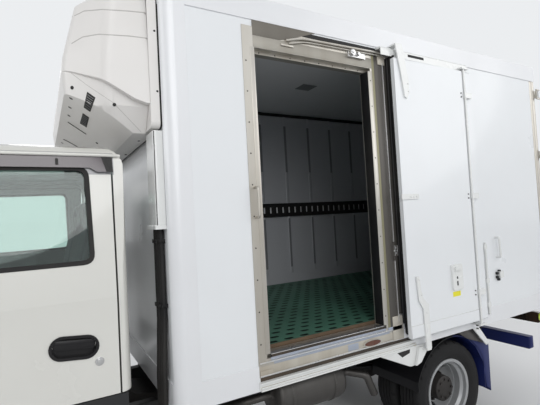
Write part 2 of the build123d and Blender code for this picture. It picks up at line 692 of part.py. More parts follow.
def rear_portal():
    """Rear frame of the box with the fixed hinge pins of both doors."""
    opening_half, low_z, high_z = REAR_OPENING
    shape = block((-BOX_HALF, BOX_HALF), (PORTAL_FRONT_Y, BOX_REAR_Y - 8), (BOX_BOTTOM_Z, ROOF_UNDER_Z))
    shape -= block((-opening_half, opening_half), (PORTAL_FRONT_Y - 5, BOX_REAR_Y), (low_z, high_z))
    for side in (-1, 1):
        for z in HINGE_HEIGHTS:
            bracket = block((BOX_HALF - 30, HINGE_X + 4), (BOX_REAR_Y - 16, BOX_REAR_Y - 8), (z - 30, z + 30))
            bracket += block((HINGE_X - 6, HINGE_X + 6), (BOX_REAR_Y - 16, HINGE_Y + 2), (z - 43, z - 31))
            bracket += block((HINGE_X - 6, HINGE_X + 6), (BOX_REAR_Y - 16, HINGE_Y + 2), (z + 31, z + 43))
            bracket += block((HINGE_X - 6, HINGE_X + 4), (BOX_REAR_Y - 16, BOX_REAR_Y - 8), (z - 43, z + 43))
            bracket += rod((HINGE_X, HINGE_Y, z - 43), (HINGE_X, HINGE_Y, z + 43), HINGE_PIN_R)
            shape += bracket if side > 0 else mirrored(bracket)
    return shape


REAR_DOOR_BACK_Y = BOX_REAR_Y - 2
REAR_DOOR_FACE_Y = BOX_REAR_Y + 10
REAR_DOOR_GAP = 6
REAR_DOOR_LAP = 24
ROD_R = 11


def rear_door(side):
    """Swing door: plug panel, outer skin, hinge straps, lock rod with keepers and handle."""
    opening_half, low_z, high_z = REAR_OPENING
    lap = REAR_DOOR_LAP
    skin = block((REAR_DOOR_GAP / 2, opening_half + lap), (REAR_DOOR_BACK_Y, REAR_DOOR_FACE_Y),
                 (low_z - lap, high_z + lap))
    skin = fillet(skin.edges().filter_by(Axis.Y), 12)
    plug = block((REAR_DOOR_GAP / 2 + 8, opening_half - 10), (PORTAL_FRONT_Y + 22, REAR_DOOR_BACK_Y + 1),
                 (low_z + 10, high_z - 10))
    plug = chamfer(plug.edges().filter_by(Axis.Z).sort_by(Axis.Y)[:2], 16)
    door = skin + plug
    for z in HINGE_HEIGHTS:
        strap = Polygon((HINGE_X - 300, z - 16), (HINGE_X - 300, z + 16), (HINGE_X - 80, z + 28),
                        (HINGE_X, z + 28), (HINGE_X, z - 28), (HINGE_X - 80, z - 28), align=None)
        leaf = along_y(strap, REAR_DOOR_FACE_Y - 1, REAR_DOOR_FACE_Y + 7)
        leaf += block((HINGE_X - 10, HINGE_X + 4), (REAR_DOOR_FACE_Y - 1, HINGE_Y), (z - 28, z + 28))
        leaf += rod((HINGE_X, HINGE_Y, z - 30), (HINGE_X, HINGE_Y, z + 30), HINGE_R)
        door += leaf
    for z in HINGE_HEIGHTS:
        door -= rod((HINGE_X, HINGE_Y, z - 60), (HINGE_X, HINGE_Y, z + 60), HINGE_PIN_R + RUNNING_GAP)
    rod_x = 210
    rod_y = REAR_DOOR_FACE_Y + 22
    door += rod((rod_x, rod_y, low_z - 30), (rod_x, rod_y, high_z + 30), ROD_R)
    for z in (low_z - 10, low_z + 330, low_z + 565, low_z + 965, high_z + 10):
        keeper = block((rod_x - 34, rod_x + 34), (REAR_DOOR_FACE_Y - 1, REAR_DOOR_FACE_Y + 6), (z - 18, z + 18))
        keeper += block((rod_x - 16, rod_x + 16), (REAR_DOOR_FACE_Y, REAR_DOOR_FACE_Y + REAR_GEAR - 10),
                        (z - 14, z + 14))
        door += fillet(keeper.edges().filter_by(Axis.Z), 2)
    grip_z = low_z + 300
    lever = Polygon((rod_x - 8, grip_z + 57), (rod_x + 380, grip_z + 27), (rod_x + 400, grip_z + 5),
                    (rod_x + 380, grip_z - 9), (rod_x - 8, grip_z + 9), align=None)
    door += along_y(lever, rod_y - 6, rod_y + 6)
    door += block((rod_x + 330, rod_x + 372), (REAR_DOOR_FACE_Y - 1, rod_y - 5), (grip_z - 13, grip_z + 37))
    return door if side > 0 else mirrored(door)


def edge_rails():
    """Thin aluminium skins: roof rail, lower rail and the two rounded front posts."""
    plan = box_plan()
    grown = box_plan(RAIL_SKIN)
    band = grown - plan
    roof_z = (BOX_TOP_Z - ROOF_RAIL_HEIGHT, BOX_TOP_Z + RAIL_SKIN)
    low_z = (BOX_BOTTOM_Z, BOX_BOTTOM_Z + LOWER_RAIL_HEIGHT)
    roof = along_z(band, roof_z[0], BOX_TOP_Z)
    lid = along_z(grown, BOX_TOP_Z, BOX_TOP_Z + RAIL_SKIN)
    lid -= block((-BOX_HALF + 60, BOX_HALF - 60), (BOX_FRONT_Y + 60, BOX_REAR_Y - 60),
                 (BOX_TOP_Z - 5, BOX_TOP_Z + 40))
    roof += lid
    lower = along_z(band, low_z[0], low_z[1])
    posts = along_z(band, low_z[1] - 1, roof_z[0] + 1)
    corner = None
    for side in (-1, 1):
        keep = block((side * BOX_HALF - POST_RETURN, side * BOX_HALF + POST_RETURN),
                     (BOX_FRONT_Y - 50, BOX_FRONT_Y - RAIL_SKIN + POST_WIDTH), (low_z[0], BOX_TOP_Z))
        corner = keep if corner is None else corner + keep
    rails = roof + lower + (posts & corner)
    cut = frame_outline()
    rails -= along_x(cut, BOX_HALF - 20, BOX_HALF + 40)
    rails -= block((-BOX_HALF - 50, BOX_HALF + 50), (BOX_REAR_Y - 8, BOX_REAR_Y + 20),
                   (BOX_BOTTOM_Z - 5, ROOF_UNDER_Z))
    for side in (-1, 1):
        for z in HINGE_HEIGHTS:
            rails -= block((side * BOX_HALF - 50, side * BOX_HALF + 50), (BOX_REAR_Y - 20, BOX_REAR_Y + 20),
                           (z - 50, z + 50))
    return rails


STEP_LIP = 18


def door_frame():
    """Stainless frame of the side door: stepped jambs, head, sill and a grab handle."""
    ring = along_x(frame_outline(), INNER_HALF, BOX_HALF + FRAME_PROUD)
    ring -= along_x(doorway(), INNER_HALF - 5, BOX_HALF + 20)
    ring -= along_x(doorway(STEP_LIP), BOX_HALF - 34, BOX_HALF + 20)
    y = DOORWAY_FRONT_Y - FRAME_SIDE / 2 - 4
    low_z = DOORWAY_SILL_Z + 710
    grab = bent_tube([(BOX_HALF + 2, y, low_z), (BOX_HALF + 42, y, low_z), (BOX_HALF + 42, y, low_z + 155),
                      (BOX_HALF + 2, y, low_z + 155)], 7, 14)
    return ring + grab


def sliding_door():
    """Plug door in its open place: outer skin, inner plug and the hinged rear leaf."""
    skin_x = (DOOR_OUTER_X - DOOR_SKIN, DOOR_OUTER_X)
    skin = block(skin_x, (DOOR_FRONT_Y, DOOR_REAR_Y), (DOOR_BOTTOM_Z, DOOR_TOP_Z))
    skin = fillet(skin.edges().filter_by(Axis.X), 10)
    skin -= block((DOOR_OUTER_X - 12, DOOR_OUTER_X + 1), (DOOR_HINGE_Y - 3, DOOR_HINGE_Y + 3),
                  (DOOR_BOTTOM_Z - 1, DOOR_TOP_Z + 1))
    skin -= block((DOOR_OUTER_X - 8, DOOR_OUTER_X + 1), (DOOR_HINGE_Y, DOOR_REAR_Y + 1),
                  (DOOR_BOTTOM_Z - 1, DOOR_TOP_Z + 1))
    skin += block((DOOR_OUTER_X - 6, DOOR_OUTER_X + DOOR_BAND), (DOOR_FRONT_Y + 4, DOOR_HINGE_Y - 6),
                  (DOOR_BOTTOM_Z + 6, DOOR_BOTTOM_Z + 78))
    plug_x = (BOX_HALF + 12, DOOR_OUTER_X - DOOR_SKIN + 1)
    inset = DOOR_PLUG_INSET + SEAL_WIDTH
    plug = block(plug_x, (DOOR_FRONT_Y + inset, DOOR_REAR_Y - inset),
                 (DOOR_BOTTOM_Z + inset, DOOR_TOP_Z - inset))
    return skin + plug


def door_seal():
    """Black rubber band around the plug of the sliding door."""
    x_span = (BOX_HALF + 10, DOOR_OUTER_X - DOOR_SKIN)
    outer = DOOR_PLUG_INSET
    inner = DOOR_PLUG_INSET + SEAL_WIDTH
    band = block(x_span, (DOOR_FRONT_Y + outer, DOOR_REAR_Y - outer),
                 (DOOR_BOTTOM_Z + outer, DOOR_TOP_Z - outer))
    band = fillet(band.edges().filter_by(Axis.X), 20)
    band -= block((x_span[0] - 5, x_span[1] + 5), (DOOR_FRONT_Y + inner, DOOR_REAR_Y - inner),
                  (DOOR_BOTTOM_Z + inner, DOOR_TOP_Z - inner))
    return band


TRACK_Z = DOOR_TOP_Z + 25
LOWER_TRACK_Z = DOOR_BOTTOM_Z - 45


def door_gear():
    """White running gear of the side door: guide rails, arms, hinge rod and brackets."""
    skin = BOX_HALF
    hood = Polygon((skin, TRACK_Z - 14), (skin, TRACK_Z + 44), (skin + 46, TRACK_Z + 40),
                   (skin + 52, TRACK_Z + 30),
                   (skin + 52, TRACK_Z - 14), (skin + 47, TRACK_Z - 14), (skin + 47, TRACK_Z + 28),
                   (skin + 5, TRACK_Z + 30), (skin + 5, TRACK_Z - 14), align=None)
    gear = [along_y(hood, DOORWAY_REAR_Y + FRAME_SIDE + 6, DOOR_REAR_Y - 20)]
    lower = Polygon((skin + 6.3, LOWER_TRACK_Z - 20), (skin + 6.3, LOWER_TRACK_Z + 22),
                    (skin + 30, LOWER_TRACK_Z + 22),
                    (skin + 30, LOWER_TRACK_Z + 16), (skin + 12, LOWER_TRACK_Z + 16),
                    (skin + 12, LOWER_TRACK_Z - 14),
                    (skin + 30, LOWER_TRACK_Z - 14), (skin + 30, LOWER_TRACK_Z - 20), align=None)
    gear.append(along_y(lower, DOORWAY_FRONT_Y - FRAME_SIDE - 4, DOOR_FRONT_Y + 60))
    return gear


ARM_PLATE = 8


def plate_on_door(points, soft, corners):
    """A flat plate on the sliding door's face from (y, z) points counted from a door corner."""
    y_zero, z_zero = corners
    shape = Polygon(*[(y_zero + y, z_zero + z) for y, z in points], align=None)
    return fillet(shape.vertices(), soft)


def door_arms():
    """Upper swan arm, middle keeper plate and lower strap on the sliding door's face."""
    face = DOOR_OUTER_X + DOOR_BAND + RUNNING_GAP
    upper = plate_on_door([(12, 91), (72, 91), (90, 15), (100, -65), (116, -145), (112, -225), (92, -263),
                           (72, -251), (62, -185), (50, -105), (34, -25)], 4, (DOOR_FRONT_Y, DOOR_TOP_Z))
    upper_arm = along_x(upper, face, face + ARM_PLATE)
    upper_arm += along_x(upper & Pos(DOOR_FRONT_Y + 90, DOOR_TOP_Z - 200) * Rectangle(90, 110),
                         DOOR_OUTER_X + RUNNING_GAP, face + 1)
    upper_arm += block((BOX_HALF + RAIL_SKIN + RUNNING_GAP, face + ARM_PLATE),
                       (DOOR_FRONT_Y + 16, DOOR_FRONT_Y + 68),
                       (DOOR_TOP_Z + 81, DOOR_TOP_Z + 91))
    middle = plate_on_door([(-14, 872), (-14, 908), (142, 906), (142, 874)], 6, (DOOR_FRONT_Y, DOOR_BOTTOM_Z))
    middle_plate = along_x(middle, DOOR_OUTER_X + RUNNING_GAP, DOOR_OUTER_X + RUNNING_GAP + ARM_PLATE)
    lower = plate_on_door([(64, 382), (90, 382), (100, 290), (116, 240), (160, 200), (162, -78), (116, -78),
                           (112, 170), (76, 230)], 4, (DOOR_FRONT_Y, DOOR_BOTTOM_Z))
    lower_arm = along_x(lower, face, face + ARM_PLATE)
    lower_arm += block((BOX_HALF + RAIL_SKIN + RUNNING_GAP, face + ARM_PLATE),
                       (DOOR_FRONT_Y + 120, DOOR_FRONT_Y + 158), (DOOR_BOTTOM_Z - 88, DOOR_BOTTOM_Z - 76))
    return [upper_arm, middle_plate, lower_arm]


KNUCKLE_HEIGHTS = (DOOR_BOTTOM_Z + 201, DOOR_BOTTOM_Z + 882, DOOR_TOP_Z - 177)


def hinge_post():
    """Upright rod in three knuckles along the rear leaf, with its keepers and handles."""
    face = DOOR_OUTER_X - 8
    y = DOOR_HINGE_Y + 14
    x = face + 11
    shape = rod((x, y, DOOR_BOTTOM_Z - 30), (x, y, DOOR_TOP_Z + 24), 8)
    for z in KNUCKLE_HEIGHTS:
        shape += block((face, x + 12), (y - 14, y + 60), (z - 20, z + 20))
        shape += rod((x, y, z - 26), (x, y, z + 26), 10.5)
    for z in (DOOR_BOTTOM_Z - 26, DOOR_TOP_Z + 20):
        shape += block((BOX_HALF + RAIL_SKIN + RUNNING_GAP, x + 12), (y - 30, y + 44), (z - 6, z + 6))
    lock_y = DOOR_FRONT_Y + 412
    lock_z = DOOR_BOTTOM_Z + 250
    lock = block((DOOR_OUTER_X + RUNNING_GAP, DOOR_OUTER_X + 16), (lock_y, lock_y + 106), (lock_z, lock_z + 172))
    lock = fillet(lock.edges().filter_by(Axis.X), 16)
    lever = block((DOOR_OUTER_X + 14, DOOR_OUTER_X + 30), (lock_y + 18, lock_y + 84),
                  (lock_z + 132, lock_z + 160))
    stay_y = DOOR_REAR_Y + 100
    stay = rod((BOX_HALF + 16, stay_y, DOOR_BOTTOM_Z), (BOX_HALF + 16, stay_y, DOOR_BOTTOM_Z + 532), 9)
    for z in (DOOR_BOTTOM_Z + 74, DOOR_BOTTOM_Z + 250, DOOR_BOTTOM_Z + 500):
        stay += block((BOX_HALF, BOX_HALF + 22), (stay_y - 18, stay_y + 18), (z - 16, z + 16))
    pull_y = DOOR_REAR_Y + 262
    pull_z = DOOR_BOTTOM_Z + 410
    pull_x = BOX_HALF + 34
    pull = bent_tube([(BOX_HALF, pull_y, pull_z), (pull_x, pull_y, pull_z), (pull_x, pull_y - 6, pull_z + 150),
                      (BOX_HALF, pull_y - 6, pull_z + 150)], 8, 13)
    catch = block((BOX_HALF, BOX_HALF + 26), (pull_y - 10, pull_y + 38), (pull_z - 158, pull_z - 110))
    return [shape, lock + lever, stay, pull, catch]


def side_gear():
    """All white door hardware on the left side."""
    return solids_of(*(door_gear() + door_arms() + hinge_post()))


EVAPORATOR_HALF = 560
EVAPORATOR_DEPTH = 420
EVAPORATOR_HEIGHT = 364


def evaporator():
    """Ceiling evaporator inside the box at the front wall, with fan outlets."""
    back = INNER_FRONT_Y + RUNNING_GAP
    front = INNER_FRONT_Y + EVAPORATOR_DEPTH
    top = ROOF_UNDER_Z - RUNNING_GAP
    low = ROOF_UNDER_Z - EVAPORATOR_HEIGHT
    side = Polygon((back, low), (back, top), (front, top), (front, top - 144), (back + 60, low), align=None)
    side = fillet([v for v in side.vertices() if v.Y < top - 40], 18)
    body = along_x(side, -EVAPORATOR_HALF, EVAPORATOR_HALF)
    for x in (-330, 0, 330):
        body -= rod((x, front + 5, top - 76), (x, front - 30, top - 76), 62)
    return body


# Cooling unit


def unit_plan(half_rear, half_front, side_depth, depth, soft):
    """Outline of the unit from above: straight sides, slanted front corners, flat front."""
    back = BOX_FRONT_Y - UNIT_GASKET
    points = [(-half_rear, back), (-half_rear, back - side_depth), (-half_front, back - depth),
              (half_front, back - depth), (half_rear, back - side_depth), (half_rear, back)]
    shape = Polygon(*points, align=None)
    return fillet([v for v in shape.vertices() if v.Y < back - 1], soft)


# Sections upwards: share of the unit's height, half width at the wall, half width at the front,
# depth of the straight side, full depth, corner radius
HOUSING_SECTIONS = (
    (0.10, UNIT_HALF_REAR, UNIT_HALF_FRONT + 12, UNIT_SIDE_DEPTH, UNIT_DEPTH, 80),
    (0.52, UNIT_HALF_REAR - 6, UNIT_HALF_FRONT, UNIT_SIDE_DEPTH - 20, UNIT_DEPTH - 22, 80),
    (0.89, UNIT_HALF_REAR - 16, UNIT_HALF_FRONT - 18, UNIT_SIDE_DEPTH - 40, UNIT_DEPTH - 80, 75),
    (0.97, UNIT_HALF_REAR - 40, UNIT_HALF_FRONT - 50, UNIT_SIDE_DEPTH - 70, UNIT_DEPTH - 130, 60),
    (1.00, UNIT_HALF_REAR - 80, UNIT_HALF_FRONT - 95, UNIT_SIDE_DEPTH - 110, UNIT_DEPTH - 185, 45),
)
PAN_SECTIONS = (
    (0.00, UNIT_HALF_REAR - 120, UNIT_HALF_FRONT - 60, UNIT_SIDE_DEPTH - 70, UNIT_DEPTH - 95, 60),
    (0.16, UNIT_HALF_REAR - 40, UNIT_HALF_FRONT - 18, UNIT_SIDE_DEPTH - 25, UNIT_DEPTH - 30, 75),
    (0.46, UNIT_HALF_REAR - 12, UNIT_HALF_FRONT, UNIT_SIDE_DEPTH - 8, UNIT_DEPTH - 12, 80),
)
# Lines seen from the side: depth from the gasket, share of the unit's height
CREASE = ((0, 0.170), (60, 0.175), (115, 0.200), (260, 0.320), (360, 0.390), (UNIT_DEPTH + 30, 0.440))
BELLY = ((0, 0.0), (105, 0.0), (330, 0.210), (UNIT_DEPTH + 30, 0.310))
UNIT_BACK_Y = BOX_FRONT_Y - UNIT_GASKET
FLANGE_DEPTH = 44


def unit_height(share):
    """Height at a share of the unit's height."""
    return UNIT_BOTTOM_Z + share * UNIT_HEIGHT


def unit_form(sections):
    """Loft between neighbouring sections of the unit."""
    shape = None
    for lower, upper in zip(sections, sections[1:]):
        faces = [Plane.XY.offset(unit_height(share)) * unit_plan(*sizes) for share, *sizes in (lower, upper)]
        piece = loft(faces, ruled=True)
        shape = piece if shape is None else shape + piece
    return shape


def side_line(line):
    """Points in (y, z) of a line seen from the unit's side."""
    return [(UNIT_BACK_Y - depth, unit_height(share)) for depth, share in line]


GRILLE_SHARES = (0.47, 0.79)
GRILLE_HALF = 430
GRILLE_BACK_Y = UNIT_BACK_Y - UNIT_DEPTH + 119
GRILLE_SLATS = 7


def grille_outline(margin):
    """Opening for the grille in (x, z), drawn in by a margin."""
    low, high = (unit_height(share) for share in GRILLE_SHARES)
    half = GRILLE_HALF - margin
    shape = Polygon((-half, low + margin), (half, low + margin), (half, high - margin), (-half, high - margin),
                    align=None)
    return fillet(shape.vertices(), 30 - margin)


def cooling_housing():
    """Upper fairing of the cooling unit with its rear flange and the front grille opening."""
    crease = side_line(CREASE)
    over = Polygon(*crease, (crease[-1][0], UNIT_TOP_Z + 50), (crease[0][0], UNIT_TOP_Z + 50), align=None)
    shape = unit_form(HOUSING_SECTIONS) & along_x(over, -UNIT_HALF_REAR - 50, UNIT_HALF_REAR + 50)
    flange = Polygon((-UNIT_HALF_REAR, UNIT_BOTTOM_Z + 6), (UNIT_HALF_REAR, UNIT_BOTTOM_Z + 6),
                     (UNIT_HALF_REAR, UNIT_TOP_Z - 4), (-UNIT_HALF_REAR, UNIT_TOP_Z - 4), align=None)
    shape += along_y(fillet(flange.vertices(), 30), UNIT_BACK_Y - FLANGE_DEPTH, UNIT_BACK_Y)
    return shape - along_y(grille_outline(0), UNIT_BACK_Y - UNIT_DEPTH - 20, GRILLE_BACK_Y + 1)


def cooling_grille():
    """Slatted condenser grille in the front of the fairing."""
    shape = along_y(grille_outline(1), GRILLE_BACK_Y - 14, GRILLE_BACK_Y)
    low, high = (unit_height(share) for share in GRILLE_SHARES)
    pitch = (high - low - 24) / GRILLE_SLATS
    y = GRILLE_BACK_Y
    for index in range(GRILLE_SLATS):
        z = low + 22 + index * pitch
        slat = Polygon((y - 50, z - 3), (y - 10, z + 8), (y - 10, z + 14), (y - 50, z + 3), align=None)
        shape += along_x(slat, 2 - GRILLE_HALF, GRILLE_HALF - 2)
    return shape & along_y(grille_outline(1), GRILLE_BACK_Y - 70, GRILLE_BACK_Y)


def cooling_pan():
    """Lower pan of the cooling unit, drawn in under the crease and rising to clear the tilting cab."""
    crease = side_line(CREASE)
    belly = side_line(BELLY)
    between = Polygon(*crease, *reversed(belly), align=None)
    shape = unit_form(PAN_SECTIONS) & along_x(between, -UNIT_HALF_REAR - 50, UNIT_HALF_REAR + 50)
    wall_end = UNIT_BACK_Y - FLANGE_DEPTH - RUNNING_GAP
    return shape - block((-UNIT_HALF_REAR - 5, UNIT_HALF_REAR + 5), (wall_end, BOX_FRONT_Y),
                         (UNIT_BOTTOM_Z - 50, UNIT_TOP_Z))


def cooling_gasket():
    """Black rubber between the unit's flange and the front wall."""
    ring = Polygon((-UNIT_HALF_REAR + 4, UNIT_BOTTOM_Z + 10), (UNIT_HALF_REAR - 4, UNIT_BOTTOM_Z + 10),
                   (UNIT_HALF_REAR - 4, UNIT_TOP_Z - 8), (-UNIT_HALF_REAR + 4, UNIT_TOP_Z - 8), align=None)
    ring = fillet(ring.vertices(), 28)
    shape = along_y(ring - offset(ring, -30), BOX_FRONT_Y - UNIT_GASKET, BOX_FRONT_Y)
    rail_z = BOX_TOP_Z - ROOF_RAIL_HEIGHT - RUNNING_GAP
    shape -= block((-BOX_HALF, BOX_HALF), (BOX_FRONT_Y - RAIL_SKIN - RUNNING_GAP, BOX_FRONT_Y + 5),
                   (rail_z, BOX_TOP_Z))
    return shape


COVER_X = (720, 872)
COVER_DEPTH = 46
COVER_SHEET = 3
COVER_FOOT_Z = 1617


def pipe_cover():
    """Folded sheet cover on the front wall that leads the pipes down from the unit."""
    x_low, x_high = COVER_X
    front = BOX_FRONT_Y - COVER_DEPTH
    section = Polygon((x_low, BOX_FRONT_Y), (x_low, front), (x_high, front), (x_high, BOX_FRONT_Y), align=None)
    section = fillet([v for v in section.vertices() if v.Y < BOX_FRONT_Y - 1], 14)
    cover = along_z(section, COVER_FOOT_Z + 18, UNIT_BOTTOM_Z - 4)
    flange = Polygon((x_low - 14, BOX_FRONT_Y), (x_low - 14, front - 8), (x_high + 6, front - 8),
                     (x_high + 6, BOX_FRONT_Y), align=None)
    cover += along_z(flange, COVER_FOOT_Z, COVER_FOOT_Z + 20)
    hollow = block((x_low + COVER_SHEET, x_high - COVER_SHEET), (front + COVER_SHEET, BOX_FRONT_Y + 1),
                   (COVER_FOOT_Z - 5, UNIT_BOTTOM_Z - 4 - COVER_SHEET))
    return cover - hollow


HOSES = ((752, 16, 0), (790, 14, 26), (824, 12, 48))


def hoses():
    """Black hoses from the pipe cover down the front wall and under the floor."""
    tubes = []
    for x, radius, step in HOSES:
        y = BOX_FRONT_Y - radius - 3
        route = [(x, y, 1690), (x, y, 1180), (x + 6, y - 14, 900 + step), (x - 60, y, 640 + step),
                 (x - 330, y + 10, 560 + step)]
        tube = bent_tube(route, radius, 70)
        for z in (1250, 1560):
            tube += block((x - radius - 3, x + radius + 3), (y - radius - 3, BOX_FRONT_Y - RUNNING_GAP),
                          (z - 9, z + 9))
        tubes.append(tube)
    return solids_of(*tubes)


# Front bumper, guards and lamps


BUMPER_END_Y = FRONT_Y + 190
BUMPER_WALL = 55
BUMPER_INNER_R = 40
PLATE_HOLE_HALF = 105
PLATE_HOLE_Z = 590
PLATE_HOLE_R = 3.5


def bumper_plan(grow):
    """Outline of the bumper from above."""
    half = CAB_HALF + grow
    plan = Polygon((-half, BUMPER_END_Y), (-half, FRONT_Y - grow), (half, FRONT_Y - grow), (half, BUMPER_END_Y),
                   align=None)
    return fillet([v for v in plan.vertices() if v.Y < FRONT_Y + 100], 120 + grow)


def front_bumper():
    """Wrap-round bumper with air slot, rounded edges, plate holes and stays to the frame."""
    solid = along_z(bumper_plan(0), BUMPER_BOTTOM_Z, BUMPER_TOP_Z)
    rim = solid.edges().filter_by(lambda e: e.center().Z > BUMPER_TOP_Z - 1 and e.center().Y < BUMPER_END_Y - 10)
    solid = chamfer(rim, 14)
    inner = Polygon((-CAB_HALF + BUMPER_WALL, FRONT_Y + 260), (-CAB_HALF + BUMPER_WALL, FRONT_Y + BUMPER_WALL),
                    (CAB_HALF - BUMPER_WALL, FRONT_Y + BUMPER_WALL), (CAB_HALF - BUMPER_WALL, FRONT_Y + 260),
                    align=None)
    inner = fillet([v for v in inner.vertices() if v.Y < FRONT_Y + 100], BUMPER_INNER_R)
    solid -= along_z(inner, BUMPER_BOTTOM_Z - 5, BUMPER_TOP_Z + 5)
    slot = fillet(Polygon((-330, 400), (330, 400), (330, 500), (-330, 500), align=None).vertices(), 24)
    solid -= along_y(slot, FRONT_Y - 5, FRONT_Y + BUMPER_WALL + 5)
    for side in (-1, 1):
        lamp = fillet(Polygon((side * 560, 420), (side * 700, 420), (side * 700, 500), (side * 560, 500),
                              align=None).vertices(), 26)
        solid -= along_y(lamp, FRONT_Y - 5, FRONT_Y + 22)
        x = side * PLATE_HOLE_HALF
        solid -= rod((x, FRONT_Y - 5, PLATE_HOLE_Z), (x, FRONT_Y + BUMPER_WALL + 5, PLATE_HOLE_Z), PLATE_HOLE_R)
        x = sorted((side * (FRAME_HALF - RAIL_FLANGE), side * FRAME_HALF))
        solid += block(tuple(x), (FRONT_Y + BUMPER_WALL - 2, RAIL_FRONT_Y),
                       (RAIL_BOTTOM_Z + 50, RAIL_TOP_Z - 40))
        x = sorted((side * (FRAME_HALF - 8), side * (TILT_EAR[1] + 12)))
        solid -= block(tuple(x), (TILT_Y - 26, FRONT_Y + BUMPER_WALL + 5), (TILT_Z - 40, BUMPER_TOP_Z + 5))
    return solid


GUARD_R = 385
GUARD_LOW = 150
GUARD_SKIN = 5
GUARD_X = (445, 872)
BEAM_HALF = 800
BEAM_Y = RAIL_REAR_Y + 30
BEAM_Z = (398, 502)


def blue_guards():
    """Navy blue pieces: rear mudguards with flaps and the rear underrun beam."""
    shapes = []
    low_z = TYRE_R + GUARD_LOW
    reach = math.sqrt(GUARD_R ** 2 - GUARD_LOW ** 2)
    for side in (-1, 1):
        ring = Circle(GUARD_R + GUARD_SKIN) - Circle(GUARD_R)
        keep = Pos(0, GUARD_LOW + GUARD_R / 2) * Rectangle(2 * GUARD_R + 40, GUARD_R)
        arch = along_x(Pos(REAR_AXLE_Y, TYRE_R) * (ring & keep), *GUARD_X)
        arch += block(GUARD_X, (REAR_AXLE_Y + reach, REAR_AXLE_Y + reach + GUARD_SKIN), (285, low_z + 4))
        arch += block(GUARD_X, (REAR_AXLE_Y - reach - GUARD_SKIN, REAR_AXLE_Y - reach), (430, low_z + 4))
        hanger_y = (REAR_AXLE_Y + 200, REAR_AXLE_Y + 230)
        arch += block((FRAME_HALF, GUARD_X[0] + 5), hanger_y, (RAIL_TOP_Z - 60, RAIL_TOP_Z - 30))
        arch += block((GUARD_X[0] - 15, GUARD_X[0] + 5), hanger_y, (RAIL_TOP_Z - 60, RAIL_TOP_Z + 60))
        shapes.append(arch if side > 0 else mirrored(arch))
    beam = block((-BEAM_HALF, BEAM_HALF), (BEAM_Y, BEAM_Y + 80), BEAM_Z)
    beam = fillet(beam.edges().filter_by(Axis.X), 12)
    for side in (-1, 1):
        x = sorted((side * (FRAME_HALF - 40), side * FRAME_HALF))
        beam += block(tuple(x), (RAIL_REAR_Y + RUNNING_GAP, BEAM_Y + 1), (BEAM_Z[0] + 10, RAIL_TOP_Z - 20))
    shapes.append(beam)
    return solids_of(*shapes)


def marker_lamps():
    """Tail lamp clusters, oval side lamps and rear side reflectors."""
    shapes = []
    for side in (-1, 1):
        cluster = block((BOX_HALF - 405, BOX_HALF - 75), (BOX_REAR_Y - 60, BOX_REAR_Y - 20),
                        (BOX_BOTTOM_Z - 159, BOX_BOTTOM_Z - 69))
        cluster = fillet(cluster.edges().filter_by(Axis.Y), 14)
        stay = block((BOX_HALF - 285, BOX_HALF - 245), (BOX_REAR_Y - 58, BOX_REAR_Y - 50),
                     (BOX_BOTTOM_Z - 79, BOX_BOTTOM_Z))
        cluster += stay
        shapes.append(cluster if side > 0 else mirrored(cluster))
        seat_x = BOX_HALF + (FRAME_PROUD if side > 0 else RAIL_SKIN)
        oval = along_x(Pos(DOORWAY_REAR_Y - 108, DOORWAY_SILL_Z - 78) * Ellipse(62, 15), seat_x, seat_x + 10)
        shapes.append(oval if side > 0 else mirrored(oval))
    return solids_of(*shapes)


# Cab


def cab_side_outline(inset):
    """Cab seen from the side in (y, z), moved inwards by inset."""
    front = CAB_FRONT_Y + inset
    rear = CAB_REAR_Y - inset
    top = CAB_TOP_Z - inset
    shape = Polygon((front, 500), (front, 1240), (CAB_FRONT_Y + 22 + inset, 1300),
                    (CAB_FRONT_Y + 300 + inset * 1.08, 1930 - inset * 0.3), (CAB_FRONT_Y + 440 + inset, top),
                    (rear, top), (rear, 500), align=None)
    brow = [v for v in shape.vertices() if v.X < CAB_REAR_Y - 300 and v.Y > 1800]
    shape = fillet(brow, 120)
    rear_top = [v for v in shape.vertices() if v.X > rear - 1 and v.Y > top - 1]
    return fillet(rear_top, 105 - inset)


def cab_front_outline(inset):
    """Cab seen from the front in (x, z), with upright sides and a leaning upper part."""
    half = CAB_HALF - inset
    top_half = half - 52
    top = CAB_TOP_Z - inset
    shape = Polygon((-half, 450), (-half, 1330), (-top_half, top), (top_half, top), (half, 1330), (half, 450),
                    align=None)
    return fillet([v for v in shape.vertices() if v.Y > top - 1], 85 - inset)


def cab_plan_outline(inset):
    """Cab seen from above, with large rounded front corners."""
    half = CAB_HALF - inset
    shape = Polygon((-half, CAB_FRONT_Y + inset), (half, CAB_FRONT_Y + inset), (half, CAB_REAR_Y - inset),
                    (-half, CAB_REAR_Y - inset), align=None)
    shape = fillet([v for v in shape.vertices() if v.Y < CAB_FRONT_Y + inset + 1], 150 - inset)
    return fillet([v for v in shape.vertices() if v.Y > CAB_REAR_Y - inset - 1], 55 - inset)


def cab_form(inset):
    """Closed outer form of the cab, moved inwards by inset."""
    side = along_x(cab_side_outline(inset), -1000, 1000)
    front = along_y(cab_front_outline(inset), CAB_FRONT_Y - 50, CAB_REAR_Y + 50)
    plan = along_z(cab_plan_outline(inset), 400, 2200)
    return side & front & plan


def under_cab():
    """Space below the cab's lower edge, which is cut away from its walls."""
    edge = Polygon((CAB_FRONT_Y - 60, 300), (CAB_FRONT_Y - 60, CAB_FRONT_BOTTOM_Z),
                   (STEP_FRONT_Y - 20, CAB_FRONT_BOTTOM_Z), (STEP_FRONT_Y - 20, CAB_STEP_BOTTOM_Z),
                   (RISER_Y, CAB_STEP_BOTTOM_Z), (RISER_Y + 130, CAB_SILL_Z), (CAB_REAR_Y + 60, CAB_SILL_Z),
                   (CAB_REAR_Y + 60, 300), align=None)
    return along_x(edge, -1100, 1100)


